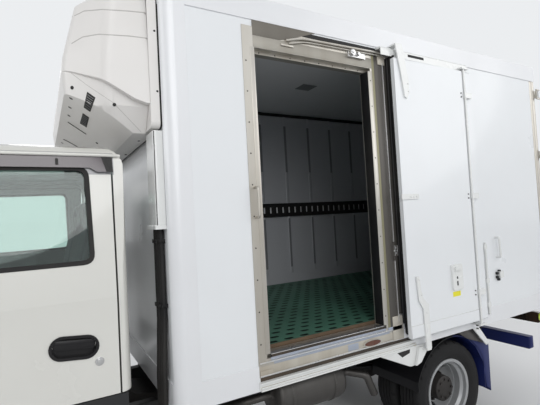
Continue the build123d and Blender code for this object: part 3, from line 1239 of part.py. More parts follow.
def cab_door_outline(grow=0):
    """Edge of a cab door in (y, z), grown by a margin."""
    low = CAB_STEP_BOTTOM_Z - 40
    shape = Polygon((CAB_DOOR_FRONT_Y - grow, low), (CAB_DOOR_FRONT_Y - grow, 1500),
                    (CAB_DOOR_FRONT_Y + 96 - grow, CAB_ROOF_SEAM_Z - 8 + grow),
                    (CAB_DOOR_REAR_Y + grow, CAB_ROOF_SEAM_Z - 8 + grow),
                    (CAB_DOOR_REAR_Y + grow, low), align=None)
    top = [v for v in shape.vertices() if v.Y > 1900]
    return fillet(top, 34 + grow)


def side_window(grow=0):
    """Side window opening in (y, z)."""
    front, rear, top = CAB_DOOR_FRONT_Y + 56, CAB_DOOR_REAR_Y - 88, WINDOW_TOP_Z + grow
    shape = Polygon((front - grow, BELT_Z - grow), (front + 82 - grow, top), (rear - 12 + grow, top),
                    (rear + grow, BELT_Z - grow), align=None)
    return fillet(shape.vertices(), 42 + grow)


def windscreen_opening(grow=0):
    """Windscreen opening in (x, z)."""
    shape = Polygon((-770 - grow, 1335 - grow), (-706 - grow, 1908 + grow), (706 + grow, 1908 + grow),
                    (770 + grow, 1335 - grow), align=None)
    return fillet(shape.vertices(), 60 + grow)


def rear_window(grow=0):
    """Rear window opening in (x, z)."""
    shape = Polygon((-480 - grow, 1500 - grow), (-480 - grow, 1850 + grow), (480 + grow, 1850 + grow),
                    (480 + grow, 1500 - grow), align=None)
    return fillet(shape.vertices(), 50 + grow)


LAMP_OUTLINE = ((560, 745), (600, 892), (900, 905), (900, 745))


def lamp_block(side, grow=0):
    """Headlamp's outline through the cab's front corner."""
    points = [(side * x, z) for x, z in LAMP_OUTLINE]
    shape = fillet(Polygon(*points, align=None).vertices(), 20)
    return along_y(shape, CAB_FRONT_Y - 60, CAB_FRONT_Y + 165)


GRILLE = ((-500, 500), (960, 1110))


def cab_shell():
    """Cab walls: front panel, pillars and back wall, with every opening cut through."""
    shell = cab_form(0) - cab_form(CAB_SKIN) - under_cab()
    shell -= block((-1100, 1100), (CAB_FRONT_Y - 60, CAB_REAR_Y + 60), (CAB_ROOF_SEAM_Z, 2300))
    opening = cab_door_outline(CAB_DOOR_GAP)
    for side in (-1, 1):
        low, high = sorted((side * 600, side * 1000))
        shell -= along_x(opening, low, high)
    shell -= along_y(windscreen_opening(), CAB_FRONT_Y - 60, CAB_FRONT_Y + 420)
    shell -= along_y(rear_window(), CAB_REAR_Y - 100, CAB_REAR_Y + 60)
    shell -= block(GRILLE[0], (CAB_FRONT_Y - 20, CAB_FRONT_Y + CAB_SKIN + 20), GRILLE[1])
    lamp_pocket = cab_form(0) - cab_form(26)
    for side in (-1, 1):
        shell -= lamp_pocket & lamp_block(side)
    pin_y = CAB_DOOR_FRONT_Y - CAB_DOOR_GAP / 2
    for side in (-1, 1):
        for z in CAB_HINGE_HEIGHTS:
            pin_x = side * (CAB_HALF - 6)
            shell += rod((pin_x, pin_y, z - 35), (pin_x, pin_y, z + 35), CAB_PIN_R)
    return shell


ARCH_R = 430
CAB_FLOOR_HALF = 786
CAB_HINGE_HEIGHTS = (860, 1240)
CAB_PIN_R = 7


def cab_roof():
    """Roof cap with its drip rail."""
    roof = cab_form(0) - cab_form(CAB_SKIN)
    roof &= block((-1100, 1100), (CAB_FRONT_Y - 60, CAB_REAR_Y + 60), (CAB_ROOF_SEAM_Z, 2300))
    return roof


def cab_floor():
    """Toe board, foot floor, riser and seat deck as one folded plate, with the tilt ears under it."""
    half = CAB_FLOOR_HALF
    plate = FLOOR_PLATE
    toe_y = FRONT_Y + 110
    front = CAB_FRONT_Y + CAB_SKIN + GLASS_SEAT
    rear = CAB_REAR_Y - CAB_SKIN - GLASS_SEAT
    fold = Polygon((toe_y, FOOT_FLOOR_Z - plate), (front, 775), (front, 815), (toe_y + 22, FOOT_FLOOR_Z),
                   (RISER_Y - plate, FOOT_FLOOR_Z), (RISER_Y - plate, SEAT_DECK_Z), (rear, SEAT_DECK_Z),
                   (rear, SEAT_DECK_Z - plate), (RISER_Y, SEAT_DECK_Z - plate), (RISER_Y, FOOT_FLOOR_Z - plate),
                   align=None)
    floor = along_x(fold, -half, half) & cab_form(CAB_SKIN + RUNNING_GAP)
    ear = Pos(TILT_Y, TILT_Z) * Circle(TILT_EAR_R)
    ear += Polygon((TILT_Y + 4, TILT_Z - TILT_EAR_R + 1), (toe_y + 40, FOOT_FLOOR_Z - plate + 2),
                   (toe_y + 6, FOOT_FLOOR_Z - 3), (TILT_Y, TILT_Z + TILT_EAR_R), align=None)
    ear -= Pos(TILT_Y, TILT_Z) * Circle(TILT_PIN_R + RUNNING_GAP)
    ear -= offset(fold, RUNNING_GAP, kind=Kind.INTERSECTION)
    ear = along_x(ear, *TILT_EAR)
    return solids_of(floor, ear, mirrored(ear))


STEP_X = (610, 835)
STEP_BOTTOM_Z = 380
STEP_WALL = 20


def cab_steps():
    """Boxed entry steps under the doors, each hung from the foot floor."""
    x_low, x_high = STEP_X
    top = CAB_STEP_BOTTOM_Z - 10
    step = block((x_low, x_high), (STEP_FRONT_Y, RISER_Y), (STEP_BOTTOM_Z, top))
    step -= block((x_low + STEP_WALL - 5, x_high + 65), (STEP_FRONT_Y + STEP_WALL, RISER_Y - STEP_WALL),
                  (STEP_BOTTOM_Z + STEP_WALL, top - STEP_WALL))
    step += block((x_low, CAB_FLOOR_HALF - 2), (STEP_FRONT_Y, RISER_Y),
                  (top - 2, FOOT_FLOOR_Z - FLOOR_PLATE - RUNNING_GAP))
    return solids_of(step, mirrored(step))


ARCH_X = (585, 838)
ARCH_PLATE = 8
FENDER_PLATE = 38
WEB_PLATE = 15


def cab_arches():
    """Wheel arches with their outer fenders, each hung from the seat deck by a web."""
    hub_z = TYRE_R + 30
    back = CAB_REAR_Y - 20
    rear = CAB_REAR_Y - CAB_SKIN - GLASS_SEAT
    low_z = 655
    deck_z = SEAT_DECK_Z - FLOOR_PLATE - RUNNING_GAP
    wheel_space = Pos(FRONT_AXLE_Y, hub_z) * Circle(ARCH_R)
    x_low, x_high = ARCH_X
    ring = Pos(FRONT_AXLE_Y, hub_z) * (Circle(ARCH_R + ARCH_PLATE) - Circle(ARCH_R))
    keep = Polygon((RISER_Y + 45, low_z), (RISER_Y + 45, 860), (back, 860), (back, low_z), align=None)
    arch = along_x(ring & keep, x_low, x_high)
    fender = Polygon((RISER_Y + 35, low_z), (RISER_Y + 141, CAB_SILL_Z - 8), (back, CAB_SILL_Z - 8),
                     (back, low_z),
                     align=None) - wheel_space
    arch += along_x(fender, x_high - FENDER_PLATE, x_high)
    web = Polygon((RISER_Y + RUNNING_GAP, 800), (RISER_Y + RUNNING_GAP, deck_z), (rear, deck_z), (rear, 800),
                  align=None) - wheel_space
    arch += along_x(web, x_low, x_low + WEB_PLATE)
    return solids_of(arch, mirrored(arch))


def cab_door(side):
    """Cab door: full-thickness lower panel, window frame, handle recess."""
    panel = cab_form(0) - cab_form(CAB_DOOR_THICK) - under_cab()
    low, high = 600, 1000
    panel &= along_x(cab_door_outline(), low, high)
    panel -= along_x(side_window(), low, high)
    pin_y = CAB_DOOR_FRONT_Y - CAB_DOOR_GAP / 2
    for z in CAB_HINGE_HEIGHTS:
        panel -= rod((CAB_HALF - 6, pin_y, z - 38), (CAB_HALF - 6, pin_y, z + 38), CAB_PIN_R + RUNNING_GAP)
    edge = Polygon((CAB_HALF + 1, CAB_DOOR_FRONT_Y - 1), (CAB_HALF + 1, CAB_DOOR_FRONT_Y + 7),
                   (CAB_HALF - 7, CAB_DOOR_FRONT_Y - 1), align=None)
    panel -= along_z(edge, CAB_STEP_BOTTOM_Z - 60, 1500)
    recess = Pos(HANDLE_Y, HANDLE_Z) * (Rot(0, 0, -6) * SlotOverall(186, 92))
    panel -= along_x(recess, CAB_HALF - 22, CAB_HALF + 20)
    bar = Pos(HANDLE_Y, HANDLE_Z + 12) * (Rot(0, 0, -6) * SlotOverall(170, 34))
    panel += along_x(bar, CAB_HALF - 24, CAB_HALF - 6)
    return panel if side > 0 else mirrored(panel)


def door_glass(side):
    """Side window pane."""
    pane = cab_form(18) - cab_form(18 + GLASS)
    pane &= along_x(side_window(-GLASS_SEAT), 600, 1000)
    return pane if side > 0 else mirrored(pane)


def cab_glass():
    """Windscreen and rear window panes."""
    pane = cab_form(SCREEN_INSET) - cab_form(SCREEN_INSET + GLASS)
    front = pane & along_y(windscreen_opening(-GLASS_SEAT), CAB_FRONT_Y - 60, CAB_FRONT_Y + 420)
    rear = pane & along_y(rear_window(-GLASS_SEAT), CAB_REAR_Y - 100, CAB_REAR_Y + 60)
    return solids_of(front, rear)


def front_grille():
    """Slatted air intake in the front panel."""
    x_low, x_high = GRILLE[0][0] + 0.3, GRILLE[0][1] - 0.3
    z_low, z_high = GRILLE[1][0] + 0.3, GRILLE[1][1] - 0.3
    y = CAB_FRONT_Y + 2
    shape = block((x_low, x_high), (y, y + 36), (z_low, z_high))
    shape -= block((x_low + 16, x_high - 16), (y - 5, y + 30), (z_low + 16, z_high - 16))
    for index in range(4):
        z = z_low + 34 + index * 27
        slat = Polygon((y + 4, z - 5), (y + 31, z + 2), (y + 31, z + 8), (y + 4, z + 4), align=None)
        shape += along_x(slat, x_low + 10, x_high - 10)
    return shape


def headlamps():
    """Wrap-round headlamps that fill their pockets in the front corners."""
    form = cab_form(0) - cab_form(25.7)
    return solids_of(*[form & lamp_block(side) for side in (-1, 1)])


def dashboard():
    """Dashboard with a hooded cluster and the steering column."""
    half = CAB_HALF - CAB_SKIN - 12
    section = Polygon((CAB_FRONT_Y + 48, 1020), (CAB_FRONT_Y + 48, 1290), (CAB_FRONT_Y + 190, 1300),
                      (CAB_FRONT_Y + 330, 1240), (CAB_FRONT_Y + 350, 1130), (CAB_FRONT_Y + 270, 1010),
                      align=None)
    section = fillet([v for v in section.vertices() if v.X > CAB_FRONT_Y + 100], 26)
    board = along_x(section, -half, half)
    board &= cab_form(CAB_SKIN + RUNNING_GAP)
    hood = Polygon((CAB_FRONT_Y + 150, 1290), (CAB_FRONT_Y + 200, 1368), (CAB_FRONT_Y + 330, 1350),
                   (CAB_FRONT_Y + 325, 1245), align=None)
    board += along_x(fillet(hood.vertices(), 14), WHEEL_X - 190, WHEEL_X + 190)
    board += rod(COLUMN_FOOT, COLUMN_TOP, 30)
    return board


WHEEL_X = -410
STEER_TILT = 42
STEER_R = 205
COLUMN_LEAN = math.radians(STEER_TILT + 6)
COLUMN_LENGTH = 330
COLUMN_TOP = (WHEEL_X, CAB_FRONT_Y + 420, 1300)
COLUMN_FOOT = (WHEEL_X, COLUMN_TOP[1] - COLUMN_LENGTH * math.sin(COLUMN_LEAN),
               COLUMN_TOP[2] - COLUMN_LENGTH * math.cos(COLUMN_LEAN))


def steering_wheel():
    """Rim, three spokes and hub, square to the steering column."""
    axis = Vector(*COLUMN_TOP) - Vector(*COLUMN_FOOT)
    seat = Plane(origin=COLUMN_TOP, x_dir=(1, 0, 0), z_dir=axis)
    rim = Pos(0, 0, 46) * Torus(STEER_R, 14)
    hub = Pos(0, 0, 24) * Cylinder(52, 46)
    shape = rim + hub
    for angle in (90, 210, 330):
        arm = Pos(STEER_R / 2 + 12, 0, 38) * Box(STEER_R - 30, 34, 16)
        shape += Rot(0, 0, angle) * arm
    return seat * shape


# Seats: low x, high x, with a back of the same width
SEATS = ((-660, -190), (-150, 640))
CUSHION_TOP_Z = 1110
SEAT_FRONT_Y = RISER_Y + 35
SEAT_BACK_Y = CAB_REAR_Y - 240


def seats():
    """Driver's seat and the double passenger seat, each one padded solid."""
    shapes = []
    for x_low, x_high in SEATS:
        cushion = Polygon((SEAT_FRONT_Y, SEAT_DECK_Z + 0.3), (SEAT_FRONT_Y, CUSHION_TOP_Z - 10),
                          (SEAT_FRONT_Y + 120, CUSHION_TOP_Z), (SEAT_BACK_Y - 30, CUSHION_TOP_Z - 12),
                          (SEAT_BACK_Y + 90, 1640), (SEAT_BACK_Y + 190, 1630),
                          (SEAT_BACK_Y + 130, SEAT_DECK_Z + 0.3),
                          align=None)
        cushion = fillet([v for v in cushion.vertices() if v.Y > SEAT_DECK_Z + 20], 24)
        shape = along_x(cushion, x_low, x_high)
        heads = [(x_low + x_high) / 2] if x_high - x_low < 600 else [x_low + 190, x_high - 190]
        for x in heads:
            rest = fillet(Polygon((SEAT_BACK_Y + 92, 1620), (SEAT_BACK_Y + 112, 1800), (SEAT_BACK_Y + 196, 1795),
                                  (SEAT_BACK_Y + 188, 1620), align=None).vertices(), 20)
            shape += along_x(rest, x - 125, x + 125)
        shapes.append(shape)
    return solids_of(*shapes)


MIRROR_FEET = ((CAB_FRONT_Y + 215, 1300), (CAB_FRONT_Y + 280, 1812))


def mirrors():
    """Door mirrors on bent stays with foot plates on the cab's front pillars."""
    shapes = []
    cab = cab_form(-RUNNING_GAP)
    for side in (-1, 1):
        (low_y, low_z), (high_y, high_z) = MIRROR_FEET
        reach_x = MIRROR_OUTER_X - 52
        stay = bent_tube([(CAB_HALF - 10, low_y, low_z), (reach_x, low_y - 47, low_z + 18),
                          (reach_x, low_y - 47, high_z - 22), (CAB_HALF - 50, high_y, high_z)], 9, 30)
        head = block((MIRROR_OUTER_X - 142, MIRROR_OUTER_X), (low_y - 81, low_y - 27), (low_z + 80, high_z - 92))
        head = fillet(head.edges().filter_by(Axis.Y), 32)
        head = fillet(head.faces().sort_by(Axis.Y)[0].edges(), 12)
        shape = head + stay
        for y, z in MIRROR_FEET:
            half = CAB_HALF if z < 1330 else CAB_HALF - 36
            shape += block((half - 10, half + 8), (y - 18, y + 18), (z - 26, z + 26))
        shape = shape if side > 0 else mirrored(shape)
        shapes.append(shape - cab)
    return solids_of(*shapes)


def build():
    """Every node of the truck by name."""
    nodes = {
        "frame_rails": frame_rails(),
        "leaf_springs": leaf_springs(),
        "axles": solids_of(front_axle_beam(), rear_axle()),
        "engine_block": engine_block(),
        "side_tanks": solids_of(fuel_tank(), battery_box()),
        "muffler": muffler(),
        "box_floor": box_floor(),
        "box_left_wall": side_wall(1),
        "box_right_wall": side_wall(-1),
        "box_front_wall": box_front_wall(),
        "box_roof": box_roof(),
        "rear_portal": rear_portal(),
        "edge_rails": edge_rails(),
        "door_frame": door_frame(),
        "sliding_door": sliding_door(),
        "side_gear": side_gear(),
        "lashing_rails": solids_of(*(lashing_rail(1) + lashing_rail(-1))),
        "floor_mat": floor_mat(),
        "evaporator": evaporator(),
        "cooling_housing": solids_of(cooling_housing(), cooling_pan()),
        "cooling_grille": cooling_grille(),
        "pipe_cover": pipe_cover(),
        "rubber_parts": solids_of(door_seal(), cooling_gasket(), hoses()),
        "front_bumper": front_bumper(),
        "blue_guards": blue_guards(),
        "marker_lamps": marker_lamps(),
        "cab_shell": cab_shell(),
        "cab_roof": cab_roof(),
        "cab_floor": cab_floor(),
        "cab_steps": cab_steps(),
        "cab_arches": cab_arches(),
        "cab_glass": cab_glass(),
        "front_grille": front_grille(),
        "headlamps": headlamps(),
        "dashboard": dashboard(),
        "steering_wheel": steering_wheel(),
        "seats": seats(),
        "mirrors": mirrors(),
    }
    for name, side in (("left", 1), ("right", -1)):
        nodes["knuckle_" + name] = knuckle(side)
        nodes["front_wheel_" + name] = front_wheel(side)
        nodes["front_tyre_" + name] = front_tyre(side)
        nodes["rear_wheels_" + name] = rear_wheels(side)
        nodes["rear_tyres_" + name] = rear_tyres(side)
        nodes["cab_door_" + name] = cab_door(side)
        nodes["door_glass_" + name] = door_glass(side)
        nodes["rear_door_" + name] = rear_door(side)
    return nodes


def main():
    """Build every node and write its STEP file."""
    os.makedirs("parts", exist_ok=True)
    for name, shape in build().items():
        export_step(shape, "parts/" + name + ".step")


main()
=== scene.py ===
import json
import logging
import math
from dataclasses import dataclass
from enum import Enum
from typing import Optional, Sequence

import bmesh
import bpy
from mathutils import Matrix, Vector
from mathutils.bvhtree import BVHTree

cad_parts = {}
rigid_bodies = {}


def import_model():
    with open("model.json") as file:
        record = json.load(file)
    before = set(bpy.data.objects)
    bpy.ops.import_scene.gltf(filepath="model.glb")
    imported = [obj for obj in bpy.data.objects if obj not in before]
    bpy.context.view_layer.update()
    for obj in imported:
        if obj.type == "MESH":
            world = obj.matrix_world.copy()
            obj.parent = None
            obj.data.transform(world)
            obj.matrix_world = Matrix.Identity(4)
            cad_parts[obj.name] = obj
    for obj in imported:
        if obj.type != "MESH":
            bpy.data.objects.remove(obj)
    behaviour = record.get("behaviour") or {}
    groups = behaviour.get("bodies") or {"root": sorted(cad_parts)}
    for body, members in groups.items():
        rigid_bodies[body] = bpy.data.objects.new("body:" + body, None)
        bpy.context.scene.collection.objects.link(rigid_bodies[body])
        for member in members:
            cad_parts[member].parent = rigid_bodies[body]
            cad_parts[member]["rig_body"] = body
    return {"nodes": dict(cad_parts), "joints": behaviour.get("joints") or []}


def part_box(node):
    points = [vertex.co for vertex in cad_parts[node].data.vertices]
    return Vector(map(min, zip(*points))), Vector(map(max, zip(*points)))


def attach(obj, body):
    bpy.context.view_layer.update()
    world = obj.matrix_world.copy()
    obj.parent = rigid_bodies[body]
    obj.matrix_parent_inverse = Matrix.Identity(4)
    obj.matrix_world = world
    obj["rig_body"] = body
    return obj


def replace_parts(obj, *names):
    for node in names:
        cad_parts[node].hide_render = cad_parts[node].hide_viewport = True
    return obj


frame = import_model()

LOG = logging.getLogger("truck")
Colour = tuple[float, float, float]
Point = tuple[float, float, float]
Flat = tuple[float, float]
Row = tuple[float, ...]
Socket = bpy.types.NodeSocket
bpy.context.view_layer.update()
PICTURE_WIDTH = 540
PICTURE_HEIGHT = 405
SIDES = (("left", 1.0), ("right", -1.0))
MERGE = 2e-5
COAT_ROUGHNESS = 0.08
BUMP_DEPTH = 0.002
SOIL_STRETCH = (1.6, 1.6, 1.1)
SOIL_FROM = (0.16, 0.46)
LOW_SOIL_HEIGHTS = (1.15, 0.55)
EDGE_BEVEL_ANGLE = math.radians(38.0)
FLAT_ANGLE = math.radians(0.4)


class Nodes:
    """A node tree that grows by one node a call."""

    def __init__(self, tree: bpy.types.NodeTree) -> None:
        """Take a tree.

        Args:
            tree: the node tree to add to.
        """
        self.tree = tree

    def put(self, socket: Socket, value: Socket | float | Row) -> None:
        """Feed an input.

        Args:
            socket: the input.
            value: the output to link to it, or its plain value.
        """
        if isinstance(value, Socket):
            self.tree.links.new(value, socket)
        else:
            socket.default_value = value

    def add(self, kind: str, inputs: dict, **settings: str) -> Sequence[Socket]:
        """Add a node.

        Args:
            kind: its type, after ShaderNode.
            inputs: its inputs' names or places, each with what feeds it.
            settings: its own settings.

        Returns:
            Its outputs.
        """
        node = self.tree.nodes.new("ShaderNode" + kind)
        for name, setting in settings.items():
            setattr(node, name, setting)
        for key, value in inputs.items():
            self.put(node.inputs[key], value)
        return node.outputs

    def math(self, operation: str, first: Socket, second: Socket | float = 0.0) -> Socket:
        """The result of one arithmetic node.

        Args:
            operation: the node's operation.
            first: the first value.
            second: the second value.

        Returns:
            The result.
        """
        return self.add("Math", {0: first, 1: second}, operation=operation)["Value"]

    def ramp(self, value: Socket, start: Flat, end: Flat) -> Socket:
        """A value carried from one range to another.

        Args:
            value: the value.
            start: the range it comes from.
            end: the range it goes to.

        Returns:
            The new value.
        """
        ranges = {"From Min": start[0], "From Max": start[1], "To Min": end[0], "To Max": end[1]}
        return self.add("MapRange", {"Value": value, **ranges})["Result"]

    def noise(self, place: Socket, stretch: Point) -> Socket:
        """Noise with its own pace along each axis.

        Args:
            place: the coordinates to read.
            stretch: how fast it changes along X, Y and Z.

        Returns:
            The noise.
        """
        stretched = self.add("Mapping", {"Vector": place, "Scale": stretch})["Vector"]
        return self.add("TexNoise", {"Vector": stretched, "Scale": 1.0, "Detail": 5.0})["Fac"]

    def mix(self, share: Socket, first: Socket | Row, second: Row) -> Socket:
        """A mix of two colours.

        Args:
            share: how much of the second one shows.
            first: the first colour.
            second: the second colour.

        Returns:
            The mixed colour.
        """
        return self.add("Mix", {"Factor": share, 6: first, 7: second}, data_type="RGBA")[2]


class Grain(Enum):
    """How a finish varies over its surface: the noise stretch along X, Y and Z."""

    SOFT = (3.0, 3.0, 3.0)
    STREAKED = (11.0, 11.0, 0.9)
    MOULDED = (160.0, 160.0, 160.0)
    WOVEN = (420.0, 420.0, 420.0)


@dataclass(frozen=True)
class ColourBox:
    """A second colour inside a box of space: for the inner faces of a wall, for dark lamp housings, and for
    painted shade on the front of a wheel arch.
    """

    colour: Colour
    half_x: float
    y_span: Flat
    z_span: Flat

    def inside(self, nodes: Nodes, place: Socket) -> Socket:
        """One inside the box and zero outside it.

        Args:
            nodes: the nodes to add to.
            place: the coordinates to read.

        Returns:
            The factor.
        """
        split = nodes.add("SeparateXYZ", {"Vector": place})
        share = nodes.math("LESS_THAN", nodes.math("ABSOLUTE", split["X"]), self.half_x)
        for axis, (low, high) in (("Y", self.y_span), ("Z", self.z_span)):
            above = nodes.math("GREATER_THAN", split[axis], low)
            below = nodes.math("LESS_THAN", split[axis], high)
            share = nodes.math("MULTIPLY", share, nodes.math("MULTIPLY", above, below))
        return share


@dataclass(frozen=True)
class Finish:
    """A surface finish that varies by noise on the object's own coordinates."""

    name: str
    slot: str
    colour: Colour
    roughness: float = 0.4
    spread: float = 0.12
    specular: float = 0.5
    metallic: float = 0.0
    coat: float = 0.0
    soil: float = 0.15
    soil_colour: Colour = (0.33, 0.30, 0.25)
    grain: Grain = Grain.SOFT
    bump: float = 0.0
    transmission: float = 0.0
    low_soil: float = 0.0
    colour_box: Optional[ColourBox] = None

    def material(self) -> bpy.types.Material:
        """The material of this finish, made once.

        Returns:
            The node-based material.
        """
        known = bpy.data.materials.get(self.name)
        if known:
            return known
        material = bpy.data.materials.new(self.name)
        material.use_nodes = True
        nodes = Nodes(material.node_tree)
        shader = material.node_tree.nodes["Principled BSDF"].inputs
        for name, value in (("Metallic", self.metallic), ("Coat Weight", self.coat),
                            ("Coat Roughness", COAT_ROUGHNESS), ("Transmission Weight", self.transmission),
                            ("Specular IOR Level", self.specular), ("Roughness", self.roughness)):
            shader[name].default_value = value
        place = nodes.add("TexCoord", {})["Object"]
        noise = nodes.noise(place, self.grain.value)
        nodes.put(shader["Base Color"], self._colour(nodes, place, noise))
        if self.spread:
            ends = (max(0.02, self.roughness - self.spread / 2), min(1.0, self.roughness + self.spread))
            nodes.put(shader["Roughness"], nodes.ramp(noise, (0.0, 1.0), ends))
        if self.bump:
            relief = nodes.add("Bump", {"Strength": self.bump, "Distance": BUMP_DEPTH, "Height": noise})
            nodes.put(shader["Normal"], relief["Normal"])
        return material

    def _colour(self, nodes: Nodes, place: Socket, noise: Socket) -> Socket:
        """Base colour with soil over it, and the second colour of its box where there is one.

        Args:
            nodes: the nodes to add to.
            place: the coordinates to read.
            noise: the noise that thins out the soil.

        Returns:
            The colour.
        """
        base: Socket | Row = (*self.colour, 1.0)
        if self.colour_box:
            base = nodes.mix(self.colour_box.inside(nodes, place), base, (*self.colour_box.colour, 1.0))
        amount = nodes.math("MULTIPLY", noise, nodes.noise(place, SOIL_STRETCH))
        share = nodes.ramp(amount, SOIL_FROM, (0.0, self.soil))
        if self.low_soil:
            height = nodes.add("SeparateXYZ", {"Vector": place})["Z"]
            low = nodes.ramp(height, LOW_SOIL_HEIGHTS, (0.0, self.low_soil))
            share = nodes.math("ADD", share, nodes.math("MULTIPLY", low, noise))
        return nodes.mix(share, base, (*self.soil_colour, 1.0))


WALL_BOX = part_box("box_left_wall")
FRONT_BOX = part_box("box_front_wall")
ROOF_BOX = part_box("box_roof")
INNER_HALF = FRONT_BOX[1].x
INNER_FRONT = FRONT_BOX[1].y
PORTAL_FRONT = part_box("rear_portal")[0].y
LOAD_Y = (INNER_FRONT - 0.001, WALL_BOX[1].y + 0.05)
LOAD_Z = (0.92, ROOF_BOX[0].z + 0.001)
LOAD_LINING = ColourBox((0.50, 0.51, 0.54), INNER_HALF + 0.002, LOAD_Y, LOAD_Z)
CEILING = ColourBox((0.78, 0.78, 0.80), INNER_HALF + 0.002, LOAD_Y, LOAD_Z)
CAB_LINING = ColourBox((0.30, 0.30, 0.31), 0.806, (-2.375, -1.077), (0.66, 1.985))
# Painted shade: the front part of the navy wheel arch is coloured black where it lies in shadow.
ARCH_FRONT_SHADE = ColourBox((0.008, 0.008, 0.009), 0.90, (0.70, 1.155), (0.25, 0.80))
TAIL_SHELL = ColourBox((0.012, 0.012, 0.013), 1.0, (2.20, 2.3785), (0.5, 0.80))

WHITE_PANEL = Finish("white panel", "white_panel", (0.79, 0.81, 0.83), 0.28, coat=0.35, soil=0.05,
                     low_soil=0.05, colour_box=LOAD_LINING)
ROOF_PANEL = Finish("roof panel", "white_panel", (0.79, 0.81, 0.83), 0.28, coat=0.35, soil=0.06,
                    colour_box=CEILING)
WHITE_PAINT = Finish("white paint", "white_paint", (0.77, 0.78, 0.77), 0.24, coat=0.6, soil=0.05,
                     low_soil=0.05)
CAB_PAINT = Finish("cab paint", "white_paint", (0.69, 0.685, 0.645), 0.22, coat=0.8, soil=0.04,
                   colour_box=CAB_LINING)
UNIT_SHELL = Finish("unit shell", "white_panel", (0.745, 0.725, 0.705), 0.36, coat=0.15, soil=0.05)
# Partly painted shade: the two wider lines on the cooling unit are shadows under its grooves' ridges; the
# thin one is a real joint.
UNIT_JOINT_AND_SHADE = Finish("unit joint and groove shade", "white_panel", (0.47, 0.455, 0.44), 0.5, soil=0.15)
# Painted shade along the wall ribs; the ceiling hatch takes the same dark grey.
LINING_SHADOW = Finish("rib shade grey", "white_panel", (0.20, 0.205, 0.22), 0.5, soil=0.2)
SLOT_PALE = Finish("rail slot", "white_panel", (0.78, 0.78, 0.80), 0.5, soil=0.1)
DARK_STEEL = Finish("dark stained steel", "silver_steel", (0.105, 0.098, 0.090), 0.38, metallic=0.55,
                    soil=0.5, soil_colour=(0.075, 0.060, 0.045), grain=Grain.STREAKED, bump=0.06)
OLIVE_STAIN = Finish("olive stained steel", "silver_steel", (0.255, 0.240, 0.150), 0.42, metallic=0.4,
                     soil=0.5, soil_colour=(0.14, 0.12, 0.07), grain=Grain.STREAKED)
RUST = Finish("rust brown", "dark_iron", (0.095, 0.060, 0.035), 0.75, soil=0.7,
              soil_colour=(0.22, 0.15, 0.085), grain=Grain.STREAKED, bump=0.2)
DEEP_RUST = Finish("deep rust", "dark_iron", (0.034, 0.025, 0.018), 0.7, soil=0.6,
                   soil_colour=(0.11, 0.075, 0.045), grain=Grain.STREAKED, bump=0.2)
HEADER_BROWN = Finish("shaded header steel", "silver_steel", (0.150, 0.138, 0.118), 0.5, metallic=0.3,
                      soil=0.5, soil_colour=(0.10, 0.085, 0.065), grain=Grain.STREAKED)
# Painted shade: the header's lower face is darkened where the overhanging edge rail shades it.
HEADER_SHADE_BEIGE = Finish("shaded lower header steel", "silver_steel", (0.33, 0.312, 0.275), 0.45, metallic=0.4,
                      soil=0.5, soil_colour=(0.22, 0.19, 0.145), grain=Grain.STREAKED)
WORN_SILL = Finish("worn sill", "silver_steel", (0.50, 0.47, 0.41), 0.42, metallic=0.35, soil=0.6,
                   soil_colour=(0.25, 0.19, 0.12), grain=Grain.STREAKED, bump=0.08)
SILL_BLUE = Finish("sill wear strip", "silver_steel", (0.38, 0.42, 0.50), 0.38, metallic=0.5, soil=0.4,
                   soil_colour=(0.30, 0.28, 0.24), grain=Grain.STREAKED)
RAIL_METAL = Finish("pale rail", "pale_aluminium", (0.77, 0.78, 0.80), 0.30, metallic=0.05, coat=0.2,
                    soil=0.06)
STAINLESS = Finish("stained steel", "silver_steel", (0.50, 0.48, 0.44), 0.36, metallic=0.75, soil=0.55,
                   soil_colour=(0.33, 0.28, 0.21), grain=Grain.STREAKED, bump=0.05)
BRIGHT_STEEL = Finish("bright steel", "silver_steel", (0.66, 0.66, 0.66), 0.26, metallic=0.9, soil=0.2,
                      grain=Grain.STREAKED)
CHROME = Finish("bright screw", "silver_steel", (0.55, 0.55, 0.55), 0.22, metallic=0.95, soil=0.1)
FRAME_BLACK = Finish("frame black", "black_paint", (0.012, 0.0125, 0.014), 0.50, soil=0.35,
                     soil_colour=(0.055, 0.050, 0.045), specular=0.3)
DARK_IRON = Finish("dark iron", "dark_iron", (0.022, 0.021, 0.021), 0.60, metallic=0.2, soil=0.5,
                   soil_colour=(0.075, 0.062, 0.052), bump=0.15, grain=Grain.MOULDED, specular=0.35)
DARK_GREY = Finish("dark grey paint", "dark_grey_paint", (0.022, 0.023, 0.025), 0.5, soil=0.3,
                   soil_colour=(0.07, 0.065, 0.055), specular=0.3)
BLACK_PLASTIC = Finish("black plastic", "black_plastic", (0.012, 0.012, 0.013), 0.45, soil=0.08, bump=0.04,
                       grain=Grain.MOULDED, specular=0.3)
GREY_PLASTIC = Finish("grey plastic", "grey_plastic", (0.17, 0.175, 0.18), 0.55, soil=0.1, bump=0.04,
                      grain=Grain.MOULDED)
BUMPER_GREY = Finish("bumper white", "grey_plastic", (0.62, 0.63, 0.63), 0.40, soil=0.12, low_soil=0.25)
GREEN_DECK = Finish("green deck", "green_plastic", (0.070, 0.185, 0.130), 0.45, soil=0.45,
                    soil_colour=(0.04, 0.085, 0.065))
